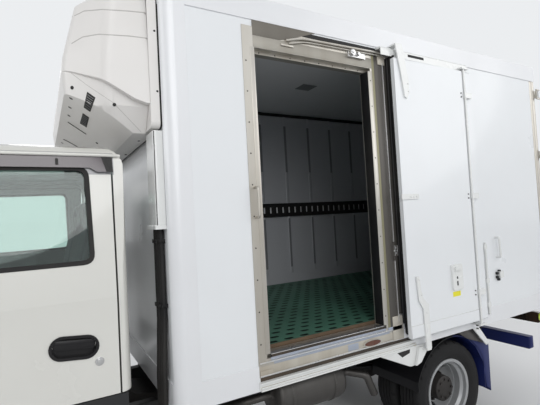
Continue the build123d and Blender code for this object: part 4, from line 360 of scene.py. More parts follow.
# The navy guards carry painted shade: black over the front part of the arch.
NAVY = Finish("navy plastic", "navy_plastic", (0.010, 0.018, 0.105), 0.40, soil=0.12,
              soil_colour=(0.06, 0.06, 0.08), specular=0.3, colour_box=ARCH_FRONT_SHADE)
RUBBER = Finish("black rubber", "black_rubber", (0.010, 0.010, 0.011), 0.55, soil=0.10, specular=0.25)
TYRE_RUBBER = Finish("tyre rubber", "tyre", (0.011, 0.011, 0.012), 0.72, soil=0.30,
                     soil_colour=(0.045, 0.042, 0.038), bump=0.08, grain=Grain.MOULDED, specular=0.25)
RIM_GREY = Finish("rim grey", "grey_wheel", (0.37, 0.38, 0.39), 0.38, metallic=0.25, soil=0.35,
                  soil_colour=(0.20, 0.185, 0.165))
LENS_RED = Finish("red lens", "red_lens", (0.50, 0.02, 0.015), 0.12, coat=0.8, soil=0.05)
LENS_AMBER = Finish("amber lens", "red_lens", (0.62, 0.17, 0.02), 0.14, coat=0.8, soil=0.10)
LENS_WORN = Finish("worn side lens", "red_lens", (0.09, 0.020, 0.007), 0.25, coat=0.3, soil=0.6,
                   soil_colour=(0.17, 0.085, 0.035), grain=Grain.STREAKED, colour_box=TAIL_SHELL)
LENS_CLEAR = Finish("clear lens", "clear_lens", (0.80, 0.84, 0.86), 0.05, spread=0.0, transmission=0.75,
                    soil=0.0)
LENS_GREEN = Finish("yellow green reflector", "clear_lens", (0.46, 0.56, 0.05), 0.15, spread=0.0, coat=0.6,
                    soil=0.1)
GLASS = Finish("green glass", "green_glass", (0.66, 0.80, 0.75), 0.0, spread=0.0, transmission=1.0,
               soil=0.0)
MIRROR_GLASS = Finish("mirror glass", "silver_steel", (0.80, 0.82, 0.83), 0.03, metallic=1.0, soil=0.0)
CLOTH = Finish("seat cloth", "grey_cloth", (0.10, 0.105, 0.12), 0.85, soil=0.2, grain=Grain.WOVEN, bump=0.3)
SMOKE = Finish("smoky visor", "black_plastic", (0.075, 0.058, 0.066), 0.12, spread=0.0, coat=0.6, soil=0.0)
GLOSS_BLACK = Finish("gloss black", "black_plastic", (0.007, 0.007, 0.009), 0.22, spread=0.05,
                     specular=0.25, soil=0.05)
YELLOW = Finish("yellow sticker", "white_paint", (0.80, 0.74, 0.03), 0.45, soil=0.1)
BLANK_PLATE = Finish("blank plate", "white_paint", (0.72, 0.73, 0.70), 0.4, soil=0.1)
# Partly heat stain and partly painted shade: the bright steel is darkened to the deep shade under the body.
# The arch filler uses it as well.
MUFFLER_STAIN_AND_SHADE = Finish("heat stained and shaded steel", "silver_steel", (0.10, 0.095, 0.09), 0.42, metallic=0.7,
                       soil=0.6, soil_colour=(0.05, 0.042, 0.035), grain=Grain.STREAKED)

# For each CAD node its finish and the width of its edges' bevel.
NODE_FINISH: dict[str, tuple[Finish, float]] = {
    "frame_rails": (FRAME_BLACK, 0.0), "leaf_springs": (FRAME_BLACK, 0.0), "axles": (DARK_IRON, 0.003),
    "engine_block": (DARK_IRON, 0.0), "side_tanks": (DARK_GREY, 0.0), "muffler": (MUFFLER_STAIN_AND_SHADE, 0.0),
    "box_floor": (DARK_GREY, 0.0), "box_left_wall": (WHITE_PANEL, 0.0),
    "box_right_wall": (WHITE_PANEL, 0.0),
    "box_front_wall": (WHITE_PANEL, 0.0), "box_roof": (ROOF_PANEL, 0.0), "rear_portal": (STAINLESS, 0.0),
    "edge_rails": (RAIL_METAL, 0.0012), "door_frame": (STAINLESS, 0.0015),
    "sliding_door": (WHITE_PANEL, 0.0),
    "side_gear": (WHITE_PAINT, 0.0012), "lashing_rails": (BLACK_PLASTIC, 0.0),
    "evaporator": (GREY_PLASTIC, 0.004),
    "cooling_housing": (UNIT_SHELL, 0.005), "cooling_grille": (BLACK_PLASTIC, 0.0),
    "pipe_cover": (WHITE_PAINT, 0.002), "rubber_parts": (RUBBER, 0.0), "front_bumper": (BUMPER_GREY, 0.006),
    "blue_guards": (NAVY, 0.0), "marker_lamps": (LENS_WORN, 0.0), "cab_shell": (CAB_PAINT, 0.004),
    "cab_roof": (CAB_PAINT, 0.004), "cab_floor": (DARK_GREY, 0.0), "cab_steps": (DARK_GREY, 0.0015),
    "cab_arches": (DARK_GREY, 0.0), "cab_glass": (GLASS, 0.0), "front_grille": (BLACK_PLASTIC, 0.001),
    "headlamps": (LENS_CLEAR, 0.003), "dashboard": (GREY_PLASTIC, 0.006), "mirrors": (BLACK_PLASTIC, 0.002),
    "steering_wheel": (BLACK_PLASTIC, 0.0)}
for _side, _ in SIDES:
    NODE_FINISH.update({
        "knuckle_" + _side: (DARK_IRON, 0.0), "front_wheel_" + _side: (RIM_GREY, 0.0015),
        "rear_wheels_" + _side: (RIM_GREY, 0.0015), "cab_door_" + _side: (CAB_PAINT, 0.004),
        "door_glass_" + _side: (GLASS, 0.0), "rear_door_" + _side: (WHITE_PANEL, 0.002)})


def verts_in(geom: Sequence) -> list[bmesh.types.BMVert]:
    """The vertices among mixed geometry.

    Args:
        geom: vertices, edges and faces.

    Returns:
        The vertices.
    """
    return [item for item in geom if isinstance(item, bmesh.types.BMVert)]


def closed_loop(bm: bmesh.types.BMesh, points: Sequence[Point]) -> list[bmesh.types.BMEdge]:
    """New edges round a closed outline.

    Args:
        bm: the mesh to add to.
        points: the outline's corners.

    Returns:
        The new edges.
    """
    verts = [bm.verts.new(point) for point in points]
    return [bm.edges.new(pair) for pair in zip(verts, verts[1:] + verts[:1])]


def node_mesh(*nodes: str, merge: bool = False) -> bmesh.types.BMesh:
    """The meshes of CAD nodes as one.

    Args:
        nodes: the nodes' names.
        merge: whether doubled points are merged.

    Returns:
        The mesh, to be freed.
    """
    bm = bmesh.new()
    for node in nodes:
        bm.from_mesh(frame["nodes"][node].data)
    if merge:
        bmesh.ops.remove_doubles(bm, verts=bm.verts, dist=MERGE)
    return bm


def bend(before: Vector, here: Vector, after: Vector, corner: float, steps: int) -> list[Vector]:
    """The points of a rounded corner.

    Args:
        before: the corner before it.
        here: the corner.
        after: the corner after it.
        corner: how far from the corner the bend starts.
        steps: the steps of the bend.

    Returns:
        The points of the bend.
    """
    start, end = (here + (other - here).normalized() * min(corner, (other - here).length / 2)
                  for other in (before, after))
    shares = [index / steps for index in range(steps + 1)]
    return [start.lerp(here, share).lerp(here.lerp(end, share), share) for share in shares]


def rounded(points: Sequence[Point], corner: float) -> list[Vector]:
    """A path with its corners rounded.

    Args:
        points: the corners of the path.
        corner: how far before each corner the bend starts.

    Returns:
        The points of the rounded path.
    """
    line = [Vector(point) for point in points]
    bends = [bend(*three, corner, 6) for three in zip(line, line[1:], line[2:])]
    return [line[0], *(place for places in bends for place in places), line[-1]]


def soft_corners(corners: Sequence[Flat], radius: float) -> list[Flat]:
    """A closed flat outline with rounded corners.

    Args:
        corners: the corners of the outline.
        radius: how far from each corner the bend starts.

    Returns:
        The rounded outline.
    """
    line = [Vector(corner) for corner in corners]
    made = []
    for three in zip(line[-1:] + line[:-1], line, line[1:] + line[:1]):
        made += [(spot.x, spot.y) for spot in bend(*three, radius, 5)]
    return made


def circle(count: int, radius: float, turn: float = 0.0) -> list[Flat]:
    """Places evenly round a circle.

    Args:
        count: how many.
        radius: the circle's radius.
        turn: how far the first is turned, in steps.

    Returns:
        The places.
    """
    angles = [math.tau * (index + turn) / count for index in range(count)]
    return [(math.cos(angle) * radius, math.sin(angle) * radius) for angle in angles]


def between(first: Flat, last: Flat, share: float) -> Flat:
    """A place between two flat places.

    Args:
        first: the first place.
        last: the last place.
        share: how far from the first to the last it lies.

    Returns:
        The place.
    """
    return first[0] + (last[0] - first[0]) * share, first[1] + (last[1] - first[1]) * share


def finished(name: str, mesh: bpy.types.Mesh, finish: Finish, body: str, smooth: float) -> bpy.types.Object:
    """Link a mesh as a piece with its finish.

    Args:
        name: the piece's name.
        mesh: its mesh.
        finish: its finish.
        body: the CAD body it moves with.
        smooth: the angle in degrees under which edges look smooth.

    Returns:
        The new object.
    """
    mesh.materials.clear()
    mesh.materials.append(finish.material())
    mesh.shade_smooth()
    mesh.set_sharp_from_angle(angle=math.radians(smooth))
    made = bpy.data.objects.new(name, mesh)
    bpy.context.scene.collection.objects.link(made)
    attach(made, body)
    LOG.info("piece %s: %d faces on %s", name, len(mesh.polygons), body)
    return made


class Shape:
    """A mesh under construction, made of blocks, rods, plates, pipes and spun forms."""

    def __init__(self) -> None:
        """Start with an empty mesh."""
        self.bm = bmesh.new()

    def block(self, low: Point, high: Point, soft: float = 0.0, steps: int = 2) -> None:
        """Add a cuboid.

        Args:
            low: its lowest corner.
            high: its highest corner.
            soft: the bevel on its edges.
            steps: the bevel's segments.
        """
        lo, hi = Vector(low), Vector(high)
        size = Matrix.Diagonal((*(abs(v) for v in hi - lo), 1.0))
        made = bmesh.ops.create_cube(self.bm, size=1.0, matrix=Matrix.Translation((lo + hi) / 2) @ size)
        if soft:
            self._soften({edge for vert in made["verts"] for edge in vert.link_edges}, soft, steps)

    def rod(self, start: Point, end: Point, radius: float, steps: int = 20, tip: Optional[float] = None,
            soft: float = 0.0) -> None:
        """Add a round or many-sided bar.

        Args:
            start: the middle of its first end.
            end: the middle of its last end.
            radius: its radius at the first end.
            steps: its sides.
            tip: its radius at the last end, where that differs.
            soft: the bevel round both ends.
        """
        first, last = Vector(start), Vector(end)
        way = last - first
        turn = way.to_track_quat("Z", "Y").to_matrix().to_4x4()
        made = bmesh.ops.create_cone(self.bm, cap_ends=True, cap_tris=False, segments=steps, radius1=radius,
                                     radius2=radius if tip is None else tip, depth=way.length,
                                     matrix=Matrix.Translation((first + last) / 2) @ turn)
        if soft:
            caps = {face for vert in made["verts"] for face in vert.link_faces if len(face.verts) > 4}
            self._soften({edge for face in caps for edge in face.edges}, soft, 2)

    def pins(self, spots: Sequence[Flat], span: Flat, radius: float, steps: int,
             tip: Optional[float] = None, soft: float = 0.0) -> None:
        """Add bars along X.

        Args:
            spots: the (y, z) place of each.
            span: the x of their two ends.
            radius: their radius at the first end.
            steps: their sides.
            tip: their radius at the last end, where that differs.
            soft: the bevel round both ends.
        """
        for spot in spots:
            self.rod((span[0], *spot), (span[1], *spot), radius, steps, tip, soft)

    def plate(self, outline: Sequence[Point], push: Point, soft: float = 0.0) -> None:
        """Add a flat plate.

        Args:
            outline: its corners in order.
            push: how far and which way it is thick.
            soft: the bevel on its edges.
        """
        corners = [self.bm.verts.new(point) for point in outline]
        moved = self._thicken([self.bm.faces.new(corners)], push)
        faces = list({face for vert in corners + moved for face in vert.link_faces})
        bmesh.ops.recalc_face_normals(self.bm, faces=faces)
        if soft:
            self._soften({edge for vert in corners + moved for edge in vert.link_edges}, soft, 2)

    def slab(self, x: float, outline: Sequence[Flat], thick: float, soft: float = 0.0) -> None:
        """Add a flat plate across X.

        Args:
            x: where it lies.
            outline: its (y, z) corners in order.
            thick: how far it reaches along X.
            soft: the bevel on its edges.
        """
        self.plate([(x, y, z) for y, z in outline], (thick, 0.0, 0.0), soft)

    def band(self, outer: Sequence[Point], inner: Sequence[Point], push: Point) -> None:
        """Add a closed flat band between two outlines with as many corners.

        Args:
            outer: the outer outline.
            inner: the inner outline.
            push: how far and which way it is thick.
        """
        edges = closed_loop(self.bm, outer) + closed_loop(self.bm, inner)
        self._thicken(bmesh.ops.bridge_loops(self.bm, edges=edges)["faces"], push)

    def pipe(self, points: Sequence[Point], radius: float, corner: float = 0.03, steps: int = 12) -> None:
        """Add a round pipe along straight runs with rounded corners.

        Args:
            points: its corners.
            radius: its radius.
            corner: how far before each corner the bend starts.
            steps: its sides.
        """
        path = rounded(points, corner)
        last = len(path) - 1
        rings = []
        for index, place in enumerate(path):
            ahead = path[min(index + 1, last)] - path[max(index - 1, 0)]
            turn = ahead.to_track_quat("Z", "Y").to_matrix().to_4x4()
            made = bmesh.ops.create_circle(self.bm, cap_ends=index in (0, last), segments=steps,
                                           radius=radius, matrix=Matrix.Translation(place) @ turn)
            rings.append(list({edge for vert in made["verts"] for edge in vert.link_edges}))
        for first, second in zip(rings, rings[1:]):
            bmesh.ops.bridge_loops(self.bm, edges=first + second)

    def spun(self, profile: Sequence[Flat], centre: Point, steps: int,
             closed: bool = False) -> list[bmesh.types.BMVert]:
        """Add a form turned about an axis along X.

        Args:
            profile: its (along, radius) points.
            centre: the point that along counts from.
            steps: the steps of a full turn.
            closed: whether the profile closes on itself.

        Returns:
            The vertices of the new form.
        """
        before = set(self.bm.verts)
        axis = Vector((1.0, 0.0, 0.0))
        side = axis.orthogonal().normalized()
        middle = Vector(centre)
        verts = [self.bm.verts.new(middle + axis * along + side * radius) for along, radius in profile]
        edges = [self.bm.edges.new(pair) for pair in zip(verts, verts[1:] + (verts[:1] if closed else []))]
        bmesh.ops.spin(self.bm, geom=verts + edges, cent=middle, axis=axis, dvec=(0.0, 0.0, 0.0),
                       angle=math.tau, steps=steps, use_merge=True, use_normal_flip=False,
                       use_duplicate=False)
        made = [vert for vert in self.bm.verts if vert not in before]
        bmesh.ops.remove_doubles(self.bm, verts=made, dist=1e-6)
        return [vert for vert in self.bm.verts if vert not in before]

    def mirror(self) -> None:
        """Add the same shape on the other side of the centre plane."""
        copy = bmesh.ops.duplicate(self.bm, geom=[*self.bm.verts, *self.bm.edges, *self.bm.faces])["geom"]
        bmesh.ops.scale(self.bm, verts=verts_in(copy), vec=(-1.0, 1.0, 1.0))
        faces = [item for item in copy if isinstance(item, bmesh.types.BMFace)]
        bmesh.ops.reverse_faces(self.bm, faces=faces)

    def piece(self, name: str, finish: Finish, body: str = "chassis", smooth: float = 40.0,
              outwards: bool = True) -> bpy.types.Object:
        """Make the shape a finished piece that rides on a body.

        Args:
            name: the piece's name.
            finish: its finish.
            body: the CAD body it moves with.
            smooth: the angle in degrees under which edges look smooth.
            outwards: whether the faces are turned outwards first.

        Returns:
            The new object.
        """
        if outwards:
            bmesh.ops.recalc_face_normals(self.bm, faces=self.bm.faces)
        mesh = bpy.data.meshes.new(name)
        self.bm.to_mesh(mesh)
        self.bm.free()
        return finished(name, mesh, finish, body, smooth)

    def _thicken(self, faces: Sequence[bmesh.types.BMFace], push: Point) -> list[bmesh.types.BMVert]:
        """Extrude flat faces.

        Args:
            faces: the faces.
            push: how far and which way they are pushed.

        Returns:
            The moved vertices.
        """
        grown = bmesh.ops.extrude_face_region(self.bm, geom=faces, use_keep_orig=True)
        moved = verts_in(grown["geom"])
        bmesh.ops.translate(self.bm, verts=moved, vec=Vector(push))
        return moved

    def _soften(self, edges: set[bmesh.types.BMEdge], soft: float, steps: int) -> None:
        """Bevel edges.

        Args:
            edges: the edges.
            soft: the bevel's width.
            steps: the bevel's segments.
        """
        bmesh.ops.bevel(self.bm, geom=list(edges), offset=soft, offset_type="OFFSET", segments=steps,
                        profile=0.5, affect="EDGES", clamp_overlap=True, material=-1)


def cuboids(name: str, finish: Finish, *rows: Row, body: str = "chassis", both: bool = False) -> None:
    """A piece made of cuboids.

    Args:
        name: the piece's name.
        finish: its finish.
        rows: for each cuboid x, y, z of its lowest corner, x, y, z of its highest one, and its bevel.
        body: the CAD body it moves with.
        both: whether it is repeated on the other side of the centre plane.
    """
    shape = Shape()
    for row in rows:
        shape.block(row[:3], row[3:6], *row[6:])
    if both:
        shape.mirror()
    shape.piece(name, finish, body)


class Frame:
    """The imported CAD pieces, given their finishes and softened edges."""

    def dress(self) -> None:
        """Show every node by a copy with merged faces, even shading and bevelled edges."""
        for node, (finish, soft) in NODE_FINISH.items():
            bm = node_mesh(node, merge=True)
            if soft:
                bmesh.ops.dissolve_limit(bm, angle_limit=FLAT_ANGLE, verts=bm.verts, edges=bm.edges)
            mesh = bpy.data.meshes.new(node + "_dressed")
            bm.to_mesh(mesh)
            bm.free()
            copy = finished(node + "_dressed", mesh, finish, frame["nodes"][node]["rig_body"], 32.0)
            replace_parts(copy, node)
            if soft:
                bevel = copy.modifiers.new("Soft edges", "BEVEL")
                bevel.width = soft
                bevel.segments = 2
                bevel.limit_method = "ANGLE"
                bevel.angle_limit = EDGE_BEVEL_ANGLE
                bevel.harden_normals = True
                bevel.use_clamp_overlap = True
            copy.modifiers.new("Even shading", "WEIGHTED_NORMAL").keep_sharp = True


@dataclass
class Tyres:
    """Grooved tyres with shoulder notches, in place of the plain ones."""

    radius: float = 0.342
    half_width: float = 0.0925
    # The side wall's section from the bead up, as (half width, radius).
    wall: tuple[Flat, ...] = ((0.0655, 0.2035), (0.0685, 0.2215), (0.083, 0.245), (0.0905, 0.262),
                              (0.0918, 0.276), (0.0925, 0.280), (0.0925, 0.286), (0.0915, 0.290),
                              (0.0895, 0.310), (0.0845, 0.325), (0.075, 0.3355), (0.060, 0.3405))
    groove_depth: float = 0.008
    grooves: tuple[float, ...] = (0.014, 0.042)
    groove_half: float = 0.0035
    groove_slope: float = 0.0008
    steps: int = 96
    notch_every: int = 4
    notch_depth: float = 0.005
    notch_edge: float = 0.0016
    shoulder: Flat = (0.062, 0.088)
    shoulder_radius: float = 0.320

    def profile(self) -> list[Flat]:
        """The closed section as (along, radius) points.

        Returns:
            The section from one bead over the tread to the other.
        """
        half = list(self.wall)
        deep = self.radius - self.groove_depth
        for groove in reversed(self.grooves):
            outer, inner = groove + self.groove_half, groove - self.groove_half
            half += [(outer, self.radius - 0.0003), (outer - self.groove_slope, deep),
                     (inner + self.groove_slope, deep), (inner, self.radius)]
        return half + [(-along, radius) for along, radius in reversed(half)]

    def build(self) -> None:
        """Build the six tyres from the places of the CAD ones."""
        for side, _ in SIDES:
            low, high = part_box("front_tyre_" + side)
            self._tyre("front_tread_" + side, [(low + high) / 2], "front_wheel_" + side,
                       "front_tyre_" + side)
            low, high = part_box("rear_tyres_" + side)
            apart = (high.x - low.x) / 2 - self.half_width
            places = [(low + high) / 2 + Vector((apart * sign, 0.0, 0.0)) for sign in (-1.0, 1.0)]
            self._tyre("rear_tread_" + side, places, "rear_wheels_" + side, "rear_tyres_" + side)

    def _tyre(self, name: str, places: list[Vector], body: str, node: str) -> None:
        """One node's tyres.

        Args:
            name: the piece's name.
            places: the middles of the tyres.
            body: the CAD body they move with.
            node: the CAD node they stand for.
        """
        shape = Shape()
        for place in places:
            self._notch(shape.bm, shape.spun(self.profile(), tuple(place), self.steps, True), place)
        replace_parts(shape.piece(name, TYRE_RUBBER, body, 30.0), node)

    def _notch(self, bm: bmesh.types.BMesh, verts: list[bmesh.types.BMVert], place: Vector) -> None:
        """Cut shoulder notches round one tyre.

        Args:
            bm: the mesh.
            verts: the tyre's vertices.
            place: the tyre's middle.
        """
        chosen = []
        for face in {face for vert in verts for face in vert.link_faces}:
            offset = face.calc_center_median() - place
            step = int((math.atan2(offset.z, offset.y) % math.tau) / (math.tau / self.steps))
            on_shoulder = self.shoulder[0] < abs(offset.x) < self.shoulder[1]
            outside = math.hypot(offset.y, offset.z) > self.shoulder_radius
            if on_shoulder and outside and step % self.notch_every == 0:
                chosen.append(face)
        bmesh.ops.inset_region(bm, faces=chosen, thickness=self.notch_edge, depth=-self.notch_depth,
                               use_even_offset=True, use_boundary=True)


@dataclass(frozen=True)
class Hub:
    """The middle of one end's wheels."""

    end: str
    body: str
    face: float
    reach: float
    radii: Point
    bolts: int


@dataclass
class WheelTrim:
    """Nuts and hubs of the wheels."""

    nuts: int = 6
    stud_circle: float = 0.111
    nut_radius: float = 0.0165
    nut_high: float = 0.020
    bolt_circle: float = 0.066
    hubs: tuple[Hub, ...] = (Hub("front", "front_wheel_", 0.1085, 0.1345, (0.079, 0.066, 0.055), 0),
                             Hub("rear", "rear_wheels_", -0.0975, 0.038, (0.090, 0.0885, 0.080), 8))

    def build(self) -> None:
        """Build the trim of all four corners."""
        for side, sign in SIDES:
            for hub in self.hubs:
                body = hub.body + side
                centre = Vector(next(item for item in frame["joints"] if item["child"] == body)["pos_m"])
                self._nuts(hub, centre, sign).piece(f"{hub.end}_nuts_{side}", DARK_IRON, body)
                self._hub(hub, centre, sign).piece(f"{hub.end}_hub_{side}", DARK_IRON, body)

    def _nuts(self, hub: Hub, centre: Vector, sign: float) -> Shape:
        """Nuts with their studs on one wheel's disc.

        Args:
            hub: the wheel's sizes.
            centre: the wheel's middle.
            sign: the side's direction along X.

        Returns:
            The shape.
        """
        shape = Shape()
        out = Vector((sign, 0.0, 0.0))
        for y, z in circle(self.nuts, self.stud_circle, 0.5):
            spot = centre + Vector((sign * hub.face, y, z))
            shape.rod(spot - out * 0.002, spot + out * self.nut_high, self.nut_radius, 6,
                      self.nut_radius * 0.94, 0.0015)
            shape.rod(spot + out * (self.nut_high - 0.002), spot + out * 0.034, 0.0085, 12, 0.0075)
        return shape

    def _hub(self, hub: Hub, centre: Vector, sign: float) -> Shape:
        """The dark hub over one wheel's middle, with its bolts.

        Args:
            hub: the wheel's sizes.
            centre: the wheel's middle.
            sign: the side's direction along X.

        Returns:
            The shape.
        """
        shape = Shape()
        start, tip = hub.face + 0.001, hub.reach + 0.001
        profile = [(start, 0.0), (start, 0.094), (start + 0.010, 0.092), (start + 0.014, hub.radii[0]),
                   (hub.reach - 0.006, hub.radii[1]), (tip, hub.radii[2]), (tip, 0.0)]
        shape.spun([(sign * along, radius) for along, radius in profile], tuple(centre), 40)
        for y, z in circle(hub.bolts, self.bolt_circle):
            spot = centre + Vector((sign * hub.reach, y, z))
            shape.rod(spot, spot + Vector((sign * 0.010, 0.0, 0.0)), 0.009, 6)
        return shape


@dataclass
class Deck:
    """Green plastic deck with staggered slots over the load floor."""

    pitch_along: float = 0.104
    pitch_across: float = 0.071
    slot_long: float = 0.060
    slot_wide: float = 0.034
    slot_round: float = 0.8
    skin: float = 0.0016

    def build(self) -> None:
        """Build the slotted deck in place of the plain one, with a black sheet below its slots as painted
        shade.
        """
        low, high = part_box("floor_mat")
        columns = int((high.y - low.y) / self.pitch_along)
        rows = int((high.x - low.x) / self.pitch_across)
        step_y, step_x = (high.y - low.y) / columns, (high.x - low.x) / rows
        shape = Shape()
        bm = shape.bm
        tile = self._tile(bm, Vector((low.x + step_x / 2, low.y + step_y / 2, high.z)), step_x, step_y)
        for row in range(rows):
            odd = row % 2
            for column in range(columns - odd):
                if row == 0 and column == 0:
                    continue
                copy = bmesh.ops.duplicate(bm, geom=tile)
                bmesh.ops.translate(bm, verts=verts_in(copy["geom"]),
                                    vec=(row * step_x, (column + odd / 2) * step_y, 0.0))
            if odd:
                left, right = low.x + row * step_x, low.x + row * step_x + step_x
                for start in (low.y, high.y - step_y / 2):
                    end = start + step_y / 2
                    corners = [(left, start), (right, start), (right, end), (left, end)]
                    bm.faces.new([bm.verts.new((x, y, high.z)) for x, y in corners])
        bmesh.ops.remove_doubles(bm, verts=bm.verts, dist=1e-5)
        border = [edge for edge in bm.edges
                  if edge.is_boundary and all(vert.co.z > high.z - 1e-4 for vert in edge.verts)]
        grown = bmesh.ops.extrude_edge_only(bm, edges=border)
        bmesh.ops.translate(bm, verts=verts_in(grown["geom"]), vec=(0.0, 0.0, low.z - high.z))
        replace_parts(shape.piece("slotted_deck", GREEN_DECK, smooth=30.0, outwards=False), "floor_mat")
        # A black sheet just under the deck, seen through the slots: painted shade.
        cuboids("deck_slot_shade", RUBBER, (low.x + 0.004, low.y + 0.004, high.z - 0.012,
                                              high.x - 0.004, high.y - 0.004, high.z - 0.010))
        cuboids("deck_dirty_edge", RUST, (high.x - 0.006, low.y + 0.001, low.z + 0.0005,
                                          high.x + 0.0012, high.y - 0.001, high.z + 0.0012, 0.0004))

    def _tile(self, bm: bmesh.types.BMesh, middle: Vector, step_x: float, step_y: float) -> list:
        """One tile of the deck with its slot.

        Args:
            bm: the mesh to add to.
            middle: the middle of the tile's top.
            step_x: the tile's size across.
            step_y: the tile's size along.

        Returns:
            The tile's geometry.
        """
        ways = ((-1, -1), (0, -1), (1, -1), (1, 0), (1, 1), (0, 1), (-1, 1), (-1, 0))
        outer = [(x * step_x / 2, y * step_y / 2) for x, y in ways]
        inner = [(x * self.slot_wide / 2 * (self.slot_round if y else 1.0),
                  y * self.slot_long / 2 * (self.slot_round if x else 1.0)) for x, y in ways]
        loops = [closed_loop(bm, [middle + Vector((x, y, 0.0)) for x, y in outline])
                 for outline in (outer, inner)]
        bmesh.ops.bridge_loops(bm, edges=loops[0] + loops[1])
        grown = bmesh.ops.extrude_edge_only(bm, edges=loops[1])
        bmesh.ops.translate(bm, verts=verts_in(grown["geom"]), vec=(0.0, 0.0, -self.skin))
        for face in bm.faces:
            face.normal_update()
            out = face.calc_center_median() - middle
            upright = abs(face.normal.z) < 0.5
            if face.normal.dot(Vector((out.x, out.y, 0.0))) > 0.0 if upright else face.normal.z < 0.0:
                face.normal_flip()
        return [*bm.verts, *bm.edges, *bm.faces]


@dataclass
class Interior:
    """Load space details: painted shade stripes on the wall ribs, ceiling line, hatch, pale rail slots and
    the cooler's fan guards.
    """

    stripe_pitch: float = 0.300
    stripe_top: float = 2.12
    slot_pitch: float = 0.075
    ceiling: float = 2.744
    fans: tuple[float, ...] = (-0.330, 0.0, 0.330)
    fan_rings: tuple[float, ...] = (0.058, 0.044, 0.030, 0.016)
    wire: float = 0.003

    def build(self) -> None:
        """Build the details of the load space."""
        self._stripes()
        self._rail_slots()
        cuboids("ceiling_hatch", LINING_SHADOW, (-0.070, 0.560, self.ceiling - 0.004,
                                                 0.060, 0.700, self.ceiling + 0.001, 0.001))
        self._fans()

    def _stripes(self) -> None:
        """Painted shade stripes on the ribs of both walls, and the strips along the ceiling's edges."""
        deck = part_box("floor_mat")[1].z
        rail_low, rail_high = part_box("lashing_rails")
        count = int((PORTAL_FRONT - INNER_FRONT - 0.200) / self.stripe_pitch)
        first = (INNER_FRONT + PORTAL_FRONT) / 2 - count * self.stripe_pitch / 2
        face = -INNER_HALF + 0.012
        # The painted shade stripes on one rib: where each starts and ends along Y from the rib, and its
        # height.
        stripes = ((-0.012, 0.012, deck + 0.16, rail_low.z - 0.02),
                   (-0.014, 0.014, self.stripe_top, self.ceiling - 0.13),
                   (-0.011, -0.008, rail_high.z + 0.01, self.stripe_top),
                   (0.008, 0.011, rail_high.z + 0.01, self.stripe_top))
        rows = [(face - 0.0004, y + start, low, face + 0.0006, y + end, high)
                for y in (first + index * self.stripe_pitch for index in range(count + 1))
                for start, end, low, high in stripes]
        cuboids("wall_rib_shade", LINING_SHADOW, *rows)
        cuboids("ceiling_edge_strips", RUBBER,
                (face - 0.014, INNER_FRONT + 0.003, self.ceiling - 0.030,
                 face + 0.004, PORTAL_FRONT - 0.003, self.ceiling - 0.001, 0.002), both=True)

    def _rail_slots(self) -> None:
        """Pale bottoms in the slots of the lashing rails, and the rails' holes."""
        low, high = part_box("lashing_rails")
        count = int((high.y - low.y - 0.060) / self.slot_pitch)
        start = (low.y + high.y) / 2 - (count - 1) * self.slot_pitch / 2
        middle = (low.z + high.z) / 2
        places = [start + index * self.slot_pitch for index in range(count)]
        rows = [(low.x + 0.0100, y - 0.010, middle - 0.030, low.x + 0.0112, y + 0.010, middle + 0.030)
                for y in places]
        cuboids("rail_slot_bottoms", SLOT_PALE, *rows)
        pips = Shape()
        spots = [(start + (index - 0.25) * self.slot_pitch / 2, z) for index in range(count * 2)
                 for z in (low.z + 0.018, high.z - 0.018)]
        pips.pins(spots, (low.x + 0.021, low.x + 0.0226), 0.0042, 8)
        pips.piece("rail_holes", FRAME_BLACK)

    def _fans(self) -> None:
        """Guards over the evaporator's fans."""
        low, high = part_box("evaporator")
        middle = (low.z + high.z) / 2
        guards = Shape()
        for x in self.fans:
            for radius in self.fan_rings:
                outer, inner = ([(x + a, high.y, middle + b) for a, b in circle(24, size)]
                                for size in (radius, radius - self.wire))
                guards.band(outer, inner, (0.0, self.wire, 0.0))
            for wide, tall in ((0.060, self.wire / 2), (self.wire / 2, 0.060)):
                guards.block((x - wide, high.y, middle - tall),
                             (x + wide, high.y + self.wire, middle + tall))
        guards.piece("fan_guards", BRIGHT_STEEL)


